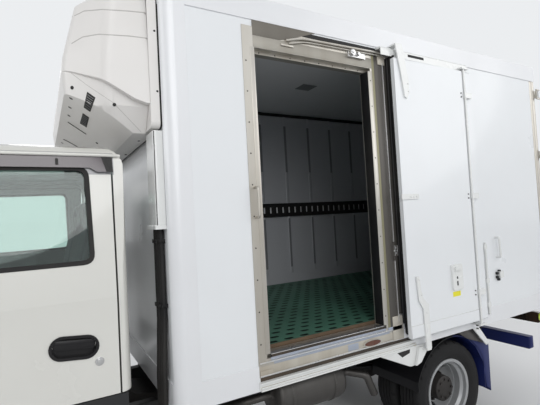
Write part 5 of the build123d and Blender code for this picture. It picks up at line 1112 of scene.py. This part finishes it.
@dataclass
class Doorway:
    """Fittings of the side doorway: screws, header track with its painted shade, roller, jamb strips, sill
    wear, a painted highlight on the sill rail and lamp rim.
    """

    front: float = -0.370
    rear: float = 0.440
    sill: float = 0.940
    head: float = 2.535
    screw_pitch: float = 0.155
    screw_radius: float = 0.0048
    head_screws: int = 8
    lip: float = 0.891
    face: float = 0.929
    column: Flat = (0.900, 2.668)
    lamp: Flat = (0.332, 0.862)

    def build(self) -> None:
        """Build the doorway's fittings."""
        self._screws()
        self._header()
        self._rear_column()
        self._sill()

    def _screws(self) -> None:
        """Rows of screw heads on the jambs and the head."""
        heads = Shape()
        rows = int((self.head - self.sill - 0.1) / self.screw_pitch)
        levels = [self.sill + 0.06 + index * (self.head - self.sill - 0.12) / rows
                  for index in range(rows + 1)]
        gaps = self.head_screws - 1
        places = [self.front + 0.05 + index * (self.rear - self.front - 0.1) / gaps
                  for index in range(gaps + 1)]
        for spots, span in (([(self.rear + 0.016, z) for z in levels], (self.face, self.face + 0.0030)),
                            ([(self.front - 0.050, z) for z in levels],
                             (self.face - 0.001, self.face + 0.0018)),
                            ([(y, self.head + 0.009) for y in places],
                             (self.lip - 0.001, self.lip + 0.002))):
            heads.pins(spots, span, self.screw_radius, 10, 0.003)
        heads.piece("jamb_screws", DARK_IRON)

    def _header(self) -> None:
        """The painted shadow in the track's slot, the painted shade on the header's faces, curved guide and
        roller of the sliding door's upper track.
        """
        # A black sheet in the header track's slot: painted shadow.
        cuboids("header_slot_shadow", RUBBER, (0.9255, -0.160, 2.668, 0.9300, 0.690, 2.690))
        shade = Shape()
        shade.slab(0.9255, [(-0.374, 2.619), (-0.374, 2.701), (0.040, 2.701), (-0.150, 2.632),
                            (-0.205, 2.619)],
                   0.0049, 0.0004)
        shade.piece("header_shaded_band", HEADER_BROWN)
        # Painted shade on the header's lower face.
        cuboids("header_lower_face_shade", HEADER_SHADE_BEIGE, (0.9285, -0.374, 2.5550, 0.9301, 0.4735, 2.6180, 0.0004))
        guide = Shape()
        guide.pipe([(0.934, -0.167, 2.622), (0.938, -0.064, 2.650), (0.938, 0.651, 2.664)], 0.0075, 0.05)
        guide.pipe([(0.934, -0.150, 2.606), (0.938, -0.040, 2.634), (0.938, 0.651, 2.646)], 0.004, 0.05)
        guide.block((0.926, -0.200, 2.588), (0.938, -0.120, 2.600), 0.002)
        guide.piece("header_guide", STAINLESS)
        roller = Shape()
        roller.block((0.929, 0.270, 2.598), (0.946, 0.400, 2.604), 0.001)
        roller.pins([(0.300, 2.622)], (0.934, 0.962), 0.019, 28, soft=0.002)
        roller.pins([(0.352, 2.622)], (0.934, 0.956), 0.012, 20, soft=0.002)
        roller.pins([(0.300, 2.622)], (0.960, 0.970), 0.008, 6)
        roller.block((0.930, 0.280, 2.600), (0.936, 0.420, 2.646), 0.002)
        roller.piece("header_roller", BRIGHT_STEEL)

    def _rear_column(self) -> None:
        """Stained stepped column, cover strips, bright rib and door seal behind the doorway."""
        low, high = self.column
        cuboids("jamb_column", DARK_STEEL, (0.9245, 0.4925, low, 0.9300, 0.560, high, 0.001),
                (0.9245, 0.560, low, 0.9275, 0.606, high, 0.001))
        cuboids("jamb_cover_strip", STAINLESS, (0.9262, 0.4378, 0.9445, 0.9302, 0.4740, 2.5340, 0.0008),
                (0.9262, -0.3960, 0.9445, 0.9302, -0.3680, 2.5540, 0.0008))
        cuboids("jamb_reveal_seal", RUBBER, (0.8600, 0.4372, 0.9450, 0.9285, 0.4398, 2.5330, 0.0004))
        cuboids("jamb_edge", OLIVE_STAIN, (0.9285, 0.4735, low, 0.9305, 0.4930, high, 0.0006))
        rib = Shape()
        for row in ((0.9270, 0.557, 1.450, 0.9400, 0.562, 2.600, 0.001),
                    (0.9270, 0.557, 0.950, 0.9400, 0.562, 1.330, 0.001),
                    (0.9270, 0.570, 1.360, 0.9340, 0.576, 1.425, 0.0008),
                    (0.9270, 0.592, 1.360, 0.9340, 0.598, 1.425, 0.0008),
                    (0.9270, 0.562, 1.388, 0.9320, 0.600, 1.396, 0.0008),
                    (0.9270, 0.562, 0.985, 0.9330, 0.604, 0.993, 0.0008)):
            rib.block(row[:3], row[3:6], row[6])
        rib.pins([(0.583, 1.376), (0.583, 1.410)], (0.9280, 0.9345), 0.006, 16, soft=0.001)
        rib.piece("jamb_rib", BRIGHT_STEEL)
        cuboids("jamb_stop_block", WORN_SILL, (0.9265, 0.522, 2.586, 0.9370, 0.582, 2.652, 0.003))
        seal = Shape()
        seal.block((0.9300, 0.6045, 0.930), (0.9900, 0.6170, 2.640), 0.002)
        seal.pipe([(0.938, 0.600, 0.935), (0.938, 0.600, 2.635)], 0.006)
        seal.piece("door_edge_seal", RUBBER)

    def _sill(self) -> None:
        """Step plates, rust, a painted highlight along the lower rail and the rim of the oval lamp on the
        sill.
        """
        front, rear = self.front - 0.064, self.rear + 0.064
        cuboids("sill_lips", BRIGHT_STEEL,
                (0.8900, self.front + 0.004, 0.9405, 0.9330, self.rear - 0.004, 0.9440, 0.0012),
                (0.9290, front, 0.905, 0.9400, rear, 0.911, 0.001),
                (0.9290, front, 0.838, 0.9360, rear, 0.845, 0.001))
        cuboids("sill_wear_strips", SILL_BLUE,
                (0.9292, self.front + 0.002, 0.912, 0.9304, self.rear + 0.010, 0.9255, 0.0004),
                (0.9292, self.front + 0.020, 0.889, 0.9304, self.rear + 0.040, 0.902, 0.0004),
                (0.9290, 0.145, 0.847, 0.9302, 0.225, 0.884, 0.0004),
                (0.9292, self.rear + 0.030, 0.900, 0.9330, 0.590, 0.925, 0.001))
        cuboids("sill_worn_panel", WORN_SILL, (0.9286, front, 0.846, 0.9298, 0.600, 0.888, 0.0004),
                (0.9290, self.rear + 0.070, 0.925, 0.9345, 0.600, 0.985, 0.002),
                (0.9300, 0.507, 0.838, 0.9330, 0.602, 0.926, 0.001),
                (0.9290, front, 0.838, 0.9345, front + 0.075, 0.868, 0.003))
        cuboids("sill_rust_band", DEEP_RUST, (0.9290, front, 0.790, 0.9322, 0.656, 0.835, 0.0006),
                (0.9290, self.front + 0.010, 0.9262, 0.9296, self.rear, 0.9395, 0.0002))
        cuboids("sill_lower_rail", WORN_SILL, (0.9290, front, 0.773, 0.9405, 0.700, 0.790, 0.003))
        # A white strip along the lower rail's top edge: painted highlight.
        cuboids("sill_rail_glint", WHITE_PAINT, (0.9400, front, 0.781, 0.9415, 0.700, 0.789, 0.0005))
        rim = Shape()
        outer, inner = ([(0.9295, self.lamp[0] + long * c, self.lamp[1] + tall * s)
                         for c, s in circle(32, 1.0)] for long, tall in ((0.074, 0.021), (0.063, 0.0155)))
        rim.band(outer, inner, (0.007, 0.0, 0.0))
        rim.piece("side_lamp_rim", STAINLESS)


@dataclass
class DoorTrim:
    """Bolts, lock details, the plain sticker, a painted highlight on the door's bottom band and the gear
    below and behind the sliding door.
    """

    face: float = 0.997

    def build(self) -> None:
        """Build the trim of the sliding door."""
        bolts = Shape()
        for y, z, proud in ((0.706, 2.41, 0.0115), (0.706, 2.46, 0.0115), (0.668, 1.729, 0.0085),
                            (0.694, 1.729, 0.0085), (0.720, 1.729, 0.0085), (0.683, 1.205, 0.0115),
                            (0.702, 1.105, 0.0115), (0.738, 0.99, 0.0115)):
            start = self.face + proud
            bolts.pins([(y, z)], (start - 0.002, start + 0.0045), 0.0075, 12, 0.0045)
        bolts.piece("door_bolts", WHITE_PAINT)
        cuboids("lock_slots", RUBBER,
                (self.face + 0.0155, 1.050, 1.120, self.face + 0.0175, 1.062, 1.150, 0.0005),
                (self.face + 0.0155, 1.050, 1.165, self.face + 0.0175, 1.062, 1.180, 0.0005))
        cuboids("plain_sticker", YELLOW,
                (self.face + 0.0001, 1.020, 1.045, self.face + 0.0007, 1.100, 1.078))
        # A white strip along the upper edge of the door's bottom band: painted highlight.
        cuboids("door_band_highlight", WHITE_PAINT,
                (self.face + 0.0001, 0.604, 0.919, self.face + 0.0042, 1.284, 0.9225, 0.0008))
        cuboids("hood_slot", RUBBER, (0.9765, 0.759, 2.655, 0.9778, 0.913, 2.672))
        self._lower_gear()
        self._hinge_side()

    def _lower_gear(self) -> None:
        """Bracket under the door's front corner, rear strut, filler by the wheel arch and mud flaps."""
        bracket = Shape()
        curve = soft_corners([(0.361, 0.776), (0.640, 0.650), (0.712, 0.668), (0.800, 0.772)], 0.030)
        bracket.slab(0.936, curve, 0.008, 0.001)
        bracket.slab(0.944, [(0.662, 0.658), (0.708, 0.672), (0.796, 0.768), (0.700, 0.768)], 0.022, 0.003)
        bracket.piece("slider_bracket", WHITE_PAINT)
        # Plain plates across X: name, finish, place, thickness, bevel and outline.
        for name, finish, x, thick, soft, outline in (
                ("slider_bracket_hole", DARK_IRON, 0.9440, 0.0012, 0.0,
                 ((0.520, 0.762), (0.560, 0.728), (0.628, 0.742), (0.632, 0.764))),
                ("rear_strut", WHITE_PAINT, 0.900, 0.012, 0.002,
                 ((1.325, 0.768), (1.395, 0.768), (1.512, 0.626), (1.478, 0.612))),
                ("arch_filler", MUFFLER_STAIN_AND_SHADE, 0.880, 0.004, 0.001,
                 ((1.170, 0.766), (1.340, 0.766), (1.490, 0.618), (1.290, 0.690)))):
            shape = Shape()
            shape.slab(x, outline, thick, soft)
            shape.piece(name, finish)
        flap = Shape()
        flap.plate([(0.450, 1.548, 0.290), (0.872, 1.548, 0.248), (0.872, 1.554, 0.612),
                    (0.450, 1.554, 0.612)],
                   (0.0, 0.006, 0.0), 0.001)
        flap.slab(0.868, [(1.300, 0.690), (1.490, 0.618), (1.554, 0.596), (1.548, 0.262), (1.505, 0.290),
                          (1.480, 0.480), (1.400, 0.610)], 0.004, 0.0008)
        flap.mirror()
        flap.piece("mud_flaps", NAVY)

    def _hinge_side(self) -> None:
        """Screws along the door's rear edge and the dark catch behind it."""
        screws = Shape()
        spots = [(y, z + up - 0.014) for z in (2.448, 1.722, 1.041) for y in (1.262, 1.305)
                 for up in (0.0, 0.028)]
        screws.pins(spots, (self.face - 0.012, self.face + 0.0055), 0.006, 12, 0.004)
        screws.pins([(1.262, 0.812), (1.300, 0.812), (1.262, 0.790), (1.300, 0.790)],
                    (self.face - 0.010, self.face + 0.004), 0.0055, 10, 0.004)
        screws.piece("hinge_screws", DARK_IRON)
        spots = ((1.640, 1.128), (1.668, 1.142), (1.640, 1.098), (1.672, 1.105), (1.655, 1.080))
        cuboids("catch_marks", DARK_GREY,
                *((0.9255, y - 0.010, z - 0.009, 0.9420, y + 0.010, z + 0.009, 0.002) for y, z in spots))


@dataclass
class Studio:
    """Floor, lamps, sky light and the camera at the picture's angle."""

    eye: Point = (2.775, -1.380, 1.642)
    yaw: float = 29.82
    pitch: float = 2.22
    roll: float = -3.12
    lens: float = 26.84
    sensor: float = 36.0
    aim: Point = (0.0, 0.0, 1.2)
    # Each lamp's name, place, size and power.
    lamps: tuple[tuple[str, Point, float, float], ...] = (
        ("side lamp", (7.5, -2.0, 5.0), 6.0, 246.0), ("rear side lamp", (6.0, 6.0, 4.5), 5.0, 123.0),
        ("front lamp", (0.5, -9.0, 4.5), 6.0, 172.0), ("far lamp", (-8.0, 1.0, 5.0), 6.0, 180.0),
        ("back lamp", (0.0, 9.0, 5.0), 5.0, 131.0))
    sky_unseen: float = 0.41
    sky_seen: float = 0.90

    def build(self) -> None:
        """Build the studio."""
        self._floor()
        self._lamps()
        self._sky()
        self._camera()
        bpy.context.scene.view_settings.view_transform = "Standard"

    def _floor(self) -> None:
        """A wide pale floor under the tyres."""
        bm = bmesh.new()
        bmesh.ops.create_grid(bm, x_segments=1, y_segments=1, size=40.0)
        mesh = bpy.data.meshes.new("studio_floor")
        bm.to_mesh(mesh)
        bm.free()
        floor = bpy.data.objects.new("studio_floor", mesh)
        bpy.context.scene.collection.objects.link(floor)
        material = bpy.data.materials.new("pale floor")
        material.use_nodes = True
        shader = material.node_tree.nodes["Principled BSDF"]
        shader.inputs["Base Color"].default_value = (0.74, 0.745, 0.75, 1.0)
        shader.inputs["Roughness"].default_value = 0.6
        mesh.materials.append(material)

    def _lamps(self) -> None:
        """Large soft lamps on both sides, in front and behind."""
        for name, spot, size, power in self.lamps:
            light = bpy.data.lights.new(name, "AREA")
            light.shape = "DISK"
            light.size = size
            light.energy = power
            made = bpy.data.objects.new(name, light)
            made.location = spot
            made.rotation_euler = (Vector(self.aim) - Vector(spot)).to_track_quat("-Z", "Y").to_euler()
            bpy.context.scene.collection.objects.link(made)

    def _sky(self) -> None:
        """A pale sky, brighter where it is seen, mirrored or shows through glass than where it lights."""
        world = bpy.data.worlds.new("soft sky")
        bpy.context.scene.world = world
        world.use_nodes = True
        nodes = Nodes(world.node_tree)
        background = world.node_tree.nodes["Background"].inputs
        rays = nodes.add("LightPath", {})
        seen = nodes.math("MAXIMUM", rays["Is Camera Ray"], rays["Is Glossy Ray"])
        seen = nodes.math("MAXIMUM", seen, rays["Is Transmission Ray"])
        nodes.put(background["Strength"], nodes.ramp(seen, (0.0, 1.0), (self.sky_unseen, self.sky_seen)))
        background["Color"].default_value = (0.93, 0.95, 0.97, 1.0)

    def axes(self) -> tuple[Vector, Vector, Vector]:
        """The camera's own directions.

        Returns:
            Its right, up and forward directions.
        """
        yaw, pitch, roll = (math.radians(value) for value in (self.yaw, self.pitch, self.roll))
        ahead = Vector((-math.cos(yaw) * math.cos(pitch), math.sin(yaw) * math.cos(pitch), math.sin(pitch)))
        right = ahead.cross(Vector((0.0, 0.0, 1.0))).normalized()
        over = right.cross(ahead)
        turned_right = right * math.cos(roll) + over * math.sin(roll)
        turned_up = over * math.cos(roll) - right * math.sin(roll)
        return turned_right, turned_up, ahead

    def _camera(self) -> None:
        """The camera at the picture's place, direction and field of view."""
        turned_right, turned_up, ahead = self.axes()
        data = bpy.data.cameras.new("picture camera")
        data.lens = self.lens
        data.sensor_width = self.sensor
        data.clip_start = 0.05
        camera = bpy.data.objects.new("picture camera", data)
        turn = Matrix((turned_right, turned_up, -ahead)).transposed().to_4x4()
        camera.matrix_world = Matrix.Translation(Vector(self.eye)) @ turn
        bpy.context.scene.collection.objects.link(camera)
        bpy.context.scene.camera = camera


class Sight:
    """Places picked in the picture, carried onto the surface of a piece."""

    def __init__(self, studio: Studio, node: str) -> None:
        """Prepare the piece's surface.

        Args:
            studio: the studio that holds the camera's place.
            node: the name of the piece that is looked at.
        """
        bm = node_mesh(node)
        self.tree = BVHTree.FromBMesh(bm)
        bm.free()
        self.eye = Vector(studio.eye)
        self.right, self.over, self.ahead = studio.axes()
        self.focal = studio.lens / studio.sensor * PICTURE_WIDTH

    def at(self, spot: Flat, lift: float = 0.0) -> tuple[Vector, Vector]:
        """The surface's place and normal at a spot of the picture.

        Args:
            spot: the spot's place in the picture.
            lift: how far the place is moved off the surface.

        Returns:
            The place and the normal there.

        Raises:
            ValueError: if no surface shows at the spot.
        """
        across, down = spot[0] - PICTURE_WIDTH / 2, spot[1] - PICTURE_HEIGHT / 2
        ray = (self.ahead * self.focal + self.right * across - self.over * down).normalized()
        place, normal, _, _ = self.tree.ray_cast(self.eye, ray)
        if place is None:
            raise ValueError(f"nothing shows at {spot}")
        if normal.dot(ray) > 0.0:
            normal.negate()
        return place + normal * lift, normal

    def patch(self, shape: Shape, quad: Sequence[Flat]) -> None:
        """Add a thin patch that follows the surface between four spots.

        Args:
            shape: the shape to add to.
            quad: the patch's corners in the picture.
        """
        made = bmesh.ops.create_grid(shape.bm, x_segments=8, y_segments=8, size=0.5)
        for vert in made["verts"]:
            across, down = vert.co.x + 0.5, 0.5 - vert.co.y
            spot = between(between(quad[0], quad[1], across), between(quad[3], quad[2], across), down)
            vert.co = self.at(spot, 0.0006)[0]
        faces = list({face for vert in made["verts"] for face in vert.link_faces})
        bmesh.ops.solidify(shape.bm, geom=faces, thickness=0.0012)

    def trace(self, spots: Sequence[Flat], lift: float = 0.0, step: float = 3.0) -> list[Vector]:
        """Places along a line in the picture.

        Args:
            spots: the line's corners in the picture.
            lift: how far the places are moved off the surface.
            step: the distance between places in the picture.

        Returns:
            The places on the surface.
        """
        made = []
        for first, last in zip(spots, spots[1:]):
            count = max(1, round(math.dist(first, last) / step))
            made += [between(first, last, index / count) for index in range(count)]
        return [self.at(spot, lift)[0] for spot in (*made, spots[-1])]


@dataclass
class CoolingTrim:
    """Vents, screws, joint lines, painted shade under the grooves and gaskets of the cooling unit, placed by
    their spots in the picture.
    """

    studio: Studio
    louvres: tuple[tuple[Flat, ...], ...] = (
        ((87.2, 91.7), (95.4, 97.5), (90.3, 111.8), (83.7, 107.1)),
        ((82.8, 113.0), (89.1, 117.4), (86.6, 127.3), (79.9, 123.2)))
    bars: int = 6
    bar_inset: float = 0.12
    slots: tuple[Flat, ...] = ((72.1, 87.7), (70.95, 98.4), (69.9, 107.5), (69.0, 115.6))
    slit: tuple[Flat, ...] = ((67.9, 121.9), (86.2, 134.0))
    # Screw heads: their spots, radius and height.
    heads: tuple[tuple[tuple[Flat, ...], float, float], ...] = (
        (((114.4, 104.6), (96.9, 143.0), (138.6, 140.8), (125.8, 154.5)), 0.0085, 0.0030),
        (((154.3, 30.8), (157.4, 91.2)), 0.0060, 0.0022))
    # Lines: their radius and spots. The thin first one is a joint; the two wider ones are painted shade
    # under the grooves' ridges.
    joint_and_shade_lines: tuple[tuple[float, tuple[Flat, ...]], ...] = (
        (0.0018, ((71.5, 73.3), (86.9, 85.1), (113.3, 102.7), (141.2, 132.0))),
        (0.0042, ((72.3, 16.9), (84.0, 11.0), (101.6, 9.5), (128.0, 11.0), (147.1, 12.9))),
        (0.0042, ((71.5, 43.6), (82.5, 37.0), (98.7, 34.2), (128.0, 35.9), (148.5, 38.4))))
    line_sink: float = 0.72

    def build(self) -> None:
        """Build the cooling unit's trim, the same on both sides."""
        sight = Sight(self.studio, "cooling_housing")
        vents, bars, heads, lines, gasket = (Shape() for _ in range(5))
        for quad in self.louvres:
            sight.patch(vents, quad)
            for index in range(1, self.bars + 1):
                share = index / (self.bars + 1)
                left, right = between(quad[0], quad[3], share), between(quad[1], quad[2], share)
                ends = (between(left, right, self.bar_inset), between(right, left, self.bar_inset))
                bars.pipe(sight.trace(ends, 0.0022, 1.5), 0.0018, 0.001, 8)
        for spot in self.slots:
            place, normal = sight.at(spot)
            vents.rod(place - normal * 0.001, place + normal * 0.0012, 0.0085)
        vents.pipe(sight.trace(self.slit, 0.0003), 0.0035, 0.002, 8)
        for spots, radius, high in self.heads:
            for spot in spots:
                place, normal = sight.at(spot)
                heads.rod(place - normal * 0.001, place + normal * high, radius, 16, radius * 0.7)
        for radius, line_spots in self.joint_and_shade_lines:
            lines.pipe(sight.trace(line_spots, -radius * self.line_sink), radius, 0.004, 10)
        gasket.pipe([(0.700, -0.869, 2.030), (0.765, -0.869, 2.090), (0.843, -0.869, 2.200)], 0.0065)
        for shape, name, finish in ((vents, "unit_vents", RUBBER), (bars, "unit_louvres", GREY_PLASTIC),
                                    (heads, "unit_screws", BLACK_PLASTIC), (lines, "unit_joints_and_groove_shade", UNIT_JOINT_AND_SHADE),
                                    (gasket, "unit_gasket", RUBBER)):
            shape.mirror()
            shape.piece(name, finish)


def cab_half(z: float) -> float:
    """The half width of the cab's outer face, upright below the windows and leaning in above.

    Args:
        z: the height.

    Returns:
        The half width there.
    """
    half, lean_start, lean = 0.8475, 1.330, 52.0 / 692.0
    return half - max(0.0, z - lean_start) * lean


@dataclass
class CabSide:
    """Window rubber, rain visor, handle and inner trim of one cab door."""

    side: str
    sign: float
    window: tuple[Flat, ...] = ((-2.004, 1.487), (-1.922, 1.913), (-1.190, 1.913), (-1.178, 1.487))
    window_middle: Flat = (-1.5, 1.7)
    visor_top: float = 1.966
    visor_flare: float = 0.22
    handle: Flat = (-1.268, 1.138)
    handle_tilt: float = math.radians(-6.0)
    lock: Flat = (-1.171, 1.061)

    def build(self) -> None:
        """Build the door's trim."""
        self._window()
        self._visor()
        self._handle()
        self._inner()

    def _piece(self, shape: Shape, name: str, finish: Finish, smooth: float = 40.0) -> None:
        """Make a shape a piece of this door.

        Args:
            shape: the shape.
            name: the piece's name without its side.
            finish: its finish.
            smooth: the angle in degrees under which edges look smooth.
        """
        shape.piece(f"{name}_{self.side}", finish, "cab_door_" + self.side, smooth)

    def _pane(self, grow: float, corner: float) -> list[Point]:
        """The window's outline on the door's outer face.

        Args:
            grow: how far it is moved outwards.
            corner: how far from its corners the bends start.

        Returns:
            The outline.
        """
        middle_y, middle_z = self.window_middle
        grown = [(y + (grow if y > middle_y else -grow), z + (grow if z > middle_z else -grow))
                 for y, z in self.window]
        return [(self.sign * (cab_half(z) + 0.0015), y, z) for y, z in soft_corners(grown, corner)]

    def _window(self) -> None:
        """Black rubber round the window."""
        rubber = Shape()
        rubber.band(self._pane(0.006, 0.05), self._pane(-0.013, 0.035), (-self.sign * 0.022, 0.0, 0.0))
        self._piece(rubber, "window_rubber", RUBBER)

    def _visor(self) -> None:
        """Smoky rain visor over the window, with its dark end and clip."""
        shade, dark = Shape(), Shape()
        for shape, lift, thick, outline in (
                (shade, 0.004, -0.003, ((-2.010, 1.900), (-1.950, 1.966), (-1.085, 1.966), (-1.085, 1.893),
                                        (-1.150, 1.893), (-1.180, 1.912), (-1.900, 1.912),
                                        (-1.985, 1.880))),
                (dark, 0.0046, 0.0012, ((-1.128, 1.962), (-1.083, 1.962), (-1.083, 1.892),
                                        (-1.110, 1.892))),
                (dark, 0.0046, 0.004, ((-1.316, 1.952), (-1.304, 1.952), (-1.304, 1.926),
                                       (-1.316, 1.926)))):
            points = [(self.sign * (cab_half(z) + lift + (self.visor_top - z) * self.visor_flare), y, z)
                      for y, z in outline]
            shape.plate(points, (self.sign * thick, 0.0, 0.0))
        self._piece(shade, "rain_visor", SMOKE, 20.0)
        self._piece(dark, "visor_end", BLACK_PLASTIC)

    def _oval(self, long: float, high: float, lift: float = 0.0) -> list[Flat]:
        """A slot outline about the handle's middle, turned by its tilt.

        Args:
            long: its length.
            high: its height.
            lift: how far it is moved up.

        Returns:
            The (y, z) outline.
        """
        made = []
        radius = high / 2
        cos, sin = math.cos(self.handle_tilt), math.sin(self.handle_tilt)
        for end, first in ((1.0, -90.0), (-1.0, 90.0)):
            for index in range(13):
                angle = math.radians(first + 180.0 * index / 12)
                y = end * (long / 2 - radius) + radius * math.cos(angle)
                z = radius * math.sin(angle)
                made.append((self.handle[0] + y * cos - z * sin, self.handle[1] + y * sin + z * cos + lift))
        return made

    def _handle(self) -> None:
        """Oval black handle cup, its pull and the lock barrel."""
        sign = self.sign
        face = sign * cab_half(0.0)
        cup = Shape()
        outer, inner = ([(face + sign * 0.004, y, z) for y, z in self._oval(*size)]
                        for size in ((0.196, 0.102), (0.172, 0.078)))
        cup.band(outer, inner, (-sign * 0.025, 0.0, 0.0))
        cup.slab(face - sign * 0.0205, self._oval(0.184, 0.090), sign * 0.001)
        cup.slab(face - sign * 0.006, self._oval(0.166, 0.040, 0.012), sign * 0.006, 0.002)
        self._piece(cup, "handle_cup", GLOSS_BLACK)
        barrel = Shape()
        barrel.pins([self.lock], (face - sign * 0.002, face + sign * 0.003), 0.0185, 28, soft=0.001)
        barrel.pins([self.lock], (face, face + sign * 0.006), 0.011, 20, soft=0.001)
        self._piece(barrel, "lock_barrel", CHROME)

    def _inner(self) -> None:
        """Arm rest and pocket on the door's inner face."""
        panel = Shape()
        for y_low, z_low, y_high, z_high, deep in ((-1.780, 1.215, -1.330, 1.262, 0.060),
                                                   (-1.820, 1.010, -1.420, 1.120, 0.034)):
            start = (self.sign * 0.4, (y_low + y_high) / 2, (z_low + z_high) / 2)
            face = self._inner_face(start)
            low, high = sorted((face - self.sign * deep, face + self.sign * 0.004))
            panel.block((low, y_low, z_low), (high, y_high, z_high), 0.012, 3)
        self._piece(panel, "door_inner_trim", GREY_PLASTIC)

    def _inner_face(self, start: Point) -> float:
        """The x of the door's inner face.

        Args:
            start: the place in the cab from which it is looked for.

        Returns:
            The x of the first place met.

        Raises:
            ValueError: if the door isn't met.
        """
        bm = node_mesh("cab_door_" + self.side)
        place = BVHTree.FromBMesh(bm).ray_cast(Vector(start), Vector((self.sign, 0.0, 0.0)))[0]
        bm.free()
        if place is None:
            raise ValueError(f"the {self.side} door isn't met from {start}")
        return place.x


class CabTrim:
    """Mouldings, drip rails, wipers, lamps, belts and mirror glasses of the cab."""

    def build(self) -> None:
        """Build the cab's trim."""
        for side, sign in SIDES:
            CabSide(side, sign).build()
        self._moulding("cab_glass", -1.0, 0.007, "windscreen_rubber", RUBBER)
        self._moulding("cab_glass", 1.0, 0.006, "rear_window_rubber", RUBBER)
        self._moulding("headlamps", -1.0, 0.0035, "headlamp_rims", BRIGHT_STEEL, 0.75)
        self._drip_rails()
        self._front()

    def _moulding(self, node: str, way: float, radius: float, name: str, finish: Finish,
                  least: float = 0.5) -> None:
        """A thin moulding round the outer faces of a cab piece that look along Y.

        Args:
            node: the piece's name.
            way: the direction the faces look in, 1 to the rear and -1 to the front.
            radius: the moulding's radius.
            name: the new piece's name.
            finish: its finish.
            least: how nearly the faces look that way.
        """
        bm = node_mesh(node, merge=True)
        low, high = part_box(node)
        middle = way * (low.y + high.y) / 2
        faces = {face for face in bm.faces
                 if way * face.normal.y > least and way * face.calc_center_median().y > middle}
        shape = Shape()
        for edge in bm.edges:
            if len([face for face in edge.link_faces if face in faces]) == 1:
                first, last = (vert.co.copy() for vert in edge.verts)
                over = (last - first).normalized() * radius * 0.4
                shape.rod(first - over, last + over, radius, 10)
        bm.free()
        shape.piece(name, finish, "cab")

    def _drip_rails(self) -> None:
        """Drip rails over the doors."""
        z = 1.972
        x = cab_half(z)
        rail = Shape()
        rail.pipe([(x + 0.004, -2.060, z - 0.012), (x + 0.006, -1.960, z), (x + 0.006, -1.085, z),
                   (x - 0.004, -1.048, z)], 0.008, 0.05)
        rail.mirror()
        rail.piece("drip_rails", CAB_PAINT, "cab")

    def _front(self) -> None:
        """Wipers, blank plate, fog lamps, seat belts and mirror glasses."""
        wipers = Shape()
        for x in (-0.52, 0.18):
            wipers.rod((x, -2.418, 1.322), (x, -2.404, 1.345), 0.014)
            wipers.pipe([(x, -2.420, 1.335), (x + 0.16, -2.402, 1.405), (x + 0.34, -2.390, 1.430)], 0.006,
                        0.06)
            wipers.pipe([(x + 0.06, -2.404, 1.392), (x + 0.34, -2.386, 1.437), (x + 0.58, -2.392, 1.420)],
                        0.005, 0.08)
        wipers.piece("wipers", BLACK_PLASTIC, "cab")
        cuboids("blank_plate", BLANK_PLATE, (-0.165, -2.4495, 0.530, 0.165, -2.4470, 0.650, 0.0008))
        cuboids("fog_lamps", LENS_CLEAR, (0.566, -2.440, 0.424, 0.694, -2.430, 0.496, 0.004), both=True)
        belts = Shape()
        belts.slab(0.735, [(-1.135, 1.760), (-1.090, 1.760), (-1.090, 1.060), (-1.135, 1.060)], 0.002)
        for z in (1.040, 1.745):
            belts.block((0.731, -1.142, z), (0.765, -1.083, z + 0.045), 0.003)
        belts.mirror()
        belts.piece("seat_belts", BLACK_PLASTIC, "cab")
        cuboids("mirror_glasses", MIRROR_GLASS, (0.930, -2.2425, 1.394, 1.052, -2.2405, 1.706, 0.001),
                body="cab", both=True)


@dataclass
class RearTrim:
    """Tail lenses, corner reflectors and the blank plate at the tail."""

    face: float = 2.3800
    # Each lens's span along X and its finish.
    lenses: tuple[tuple[float, float, Finish], ...] = ((0.524, 0.606, LENS_CLEAR),
                                                       (0.612, 0.694, LENS_AMBER), (0.700, 0.846, LENS_RED))

    def build(self) -> None:
        """Build the trim of the tail."""
        for index, (low, high, finish) in enumerate(self.lenses):
            cuboids(f"tail_lens_{index}", finish,
                    (low, self.face - 0.001, 0.616, high, self.face + 0.004, 0.694, 0.002), both=True)
        marks = Shape()
        marks.pins([(2.356, 0.662)], (0.849, 0.858), 0.034, 32, soft=0.003)
        marks.mirror()
        marks.piece("corner_reflectors", LENS_GREEN)
        cuboids("blank_rear_plate", BLANK_PLATE, (-0.165, 2.3202, 0.640, 0.165, 2.3222, 0.760, 0.0008))


@dataclass
class Seats:
    """Padded cloth seats of the cab."""

    voxel: float = 0.012
    crease: float = 0.006

    def build(self) -> None:
        """Build both seats over the plain ones: remeshed, relaxed and slightly creased."""
        mesh = frame["nodes"]["seats"].data.copy()
        mesh.name = "padded_seats"
        seats = finished("padded_seats", mesh, CLOTH, "cab", 60.0)
        remesh = seats.modifiers.new("Even skin", "REMESH")
        remesh.mode = "VOXEL"
        remesh.voxel_size = self.voxel
        remesh.use_smooth_shade = True
        relax = seats.modifiers.new("Soft padding", "SMOOTH")
        relax.factor = 0.6
        relax.iterations = 10
        folds = bpy.data.textures.new("seat folds", "CLOUDS")
        folds.noise_scale = 0.11
        crease = seats.modifiers.new("Creases", "DISPLACE")
        crease.texture = folds
        crease.texture_coords = "LOCAL"
        crease.strength = self.crease
        crease.mid_level = 0.62
        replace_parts(seats, "seats")


def main() -> None:
    """Build every piece in order."""
    logging.basicConfig(level=logging.INFO, format="%(name)s %(message)s")
    studio = Studio()
    Frame().dress()
    for part in (Tyres(), WheelTrim(), Deck(), Interior(), Doorway(), DoorTrim(), CoolingTrim(studio),
                 CabTrim(), RearTrim(), Seats(), studio):
        part.build()


if __name__ == "__main__":
    main()
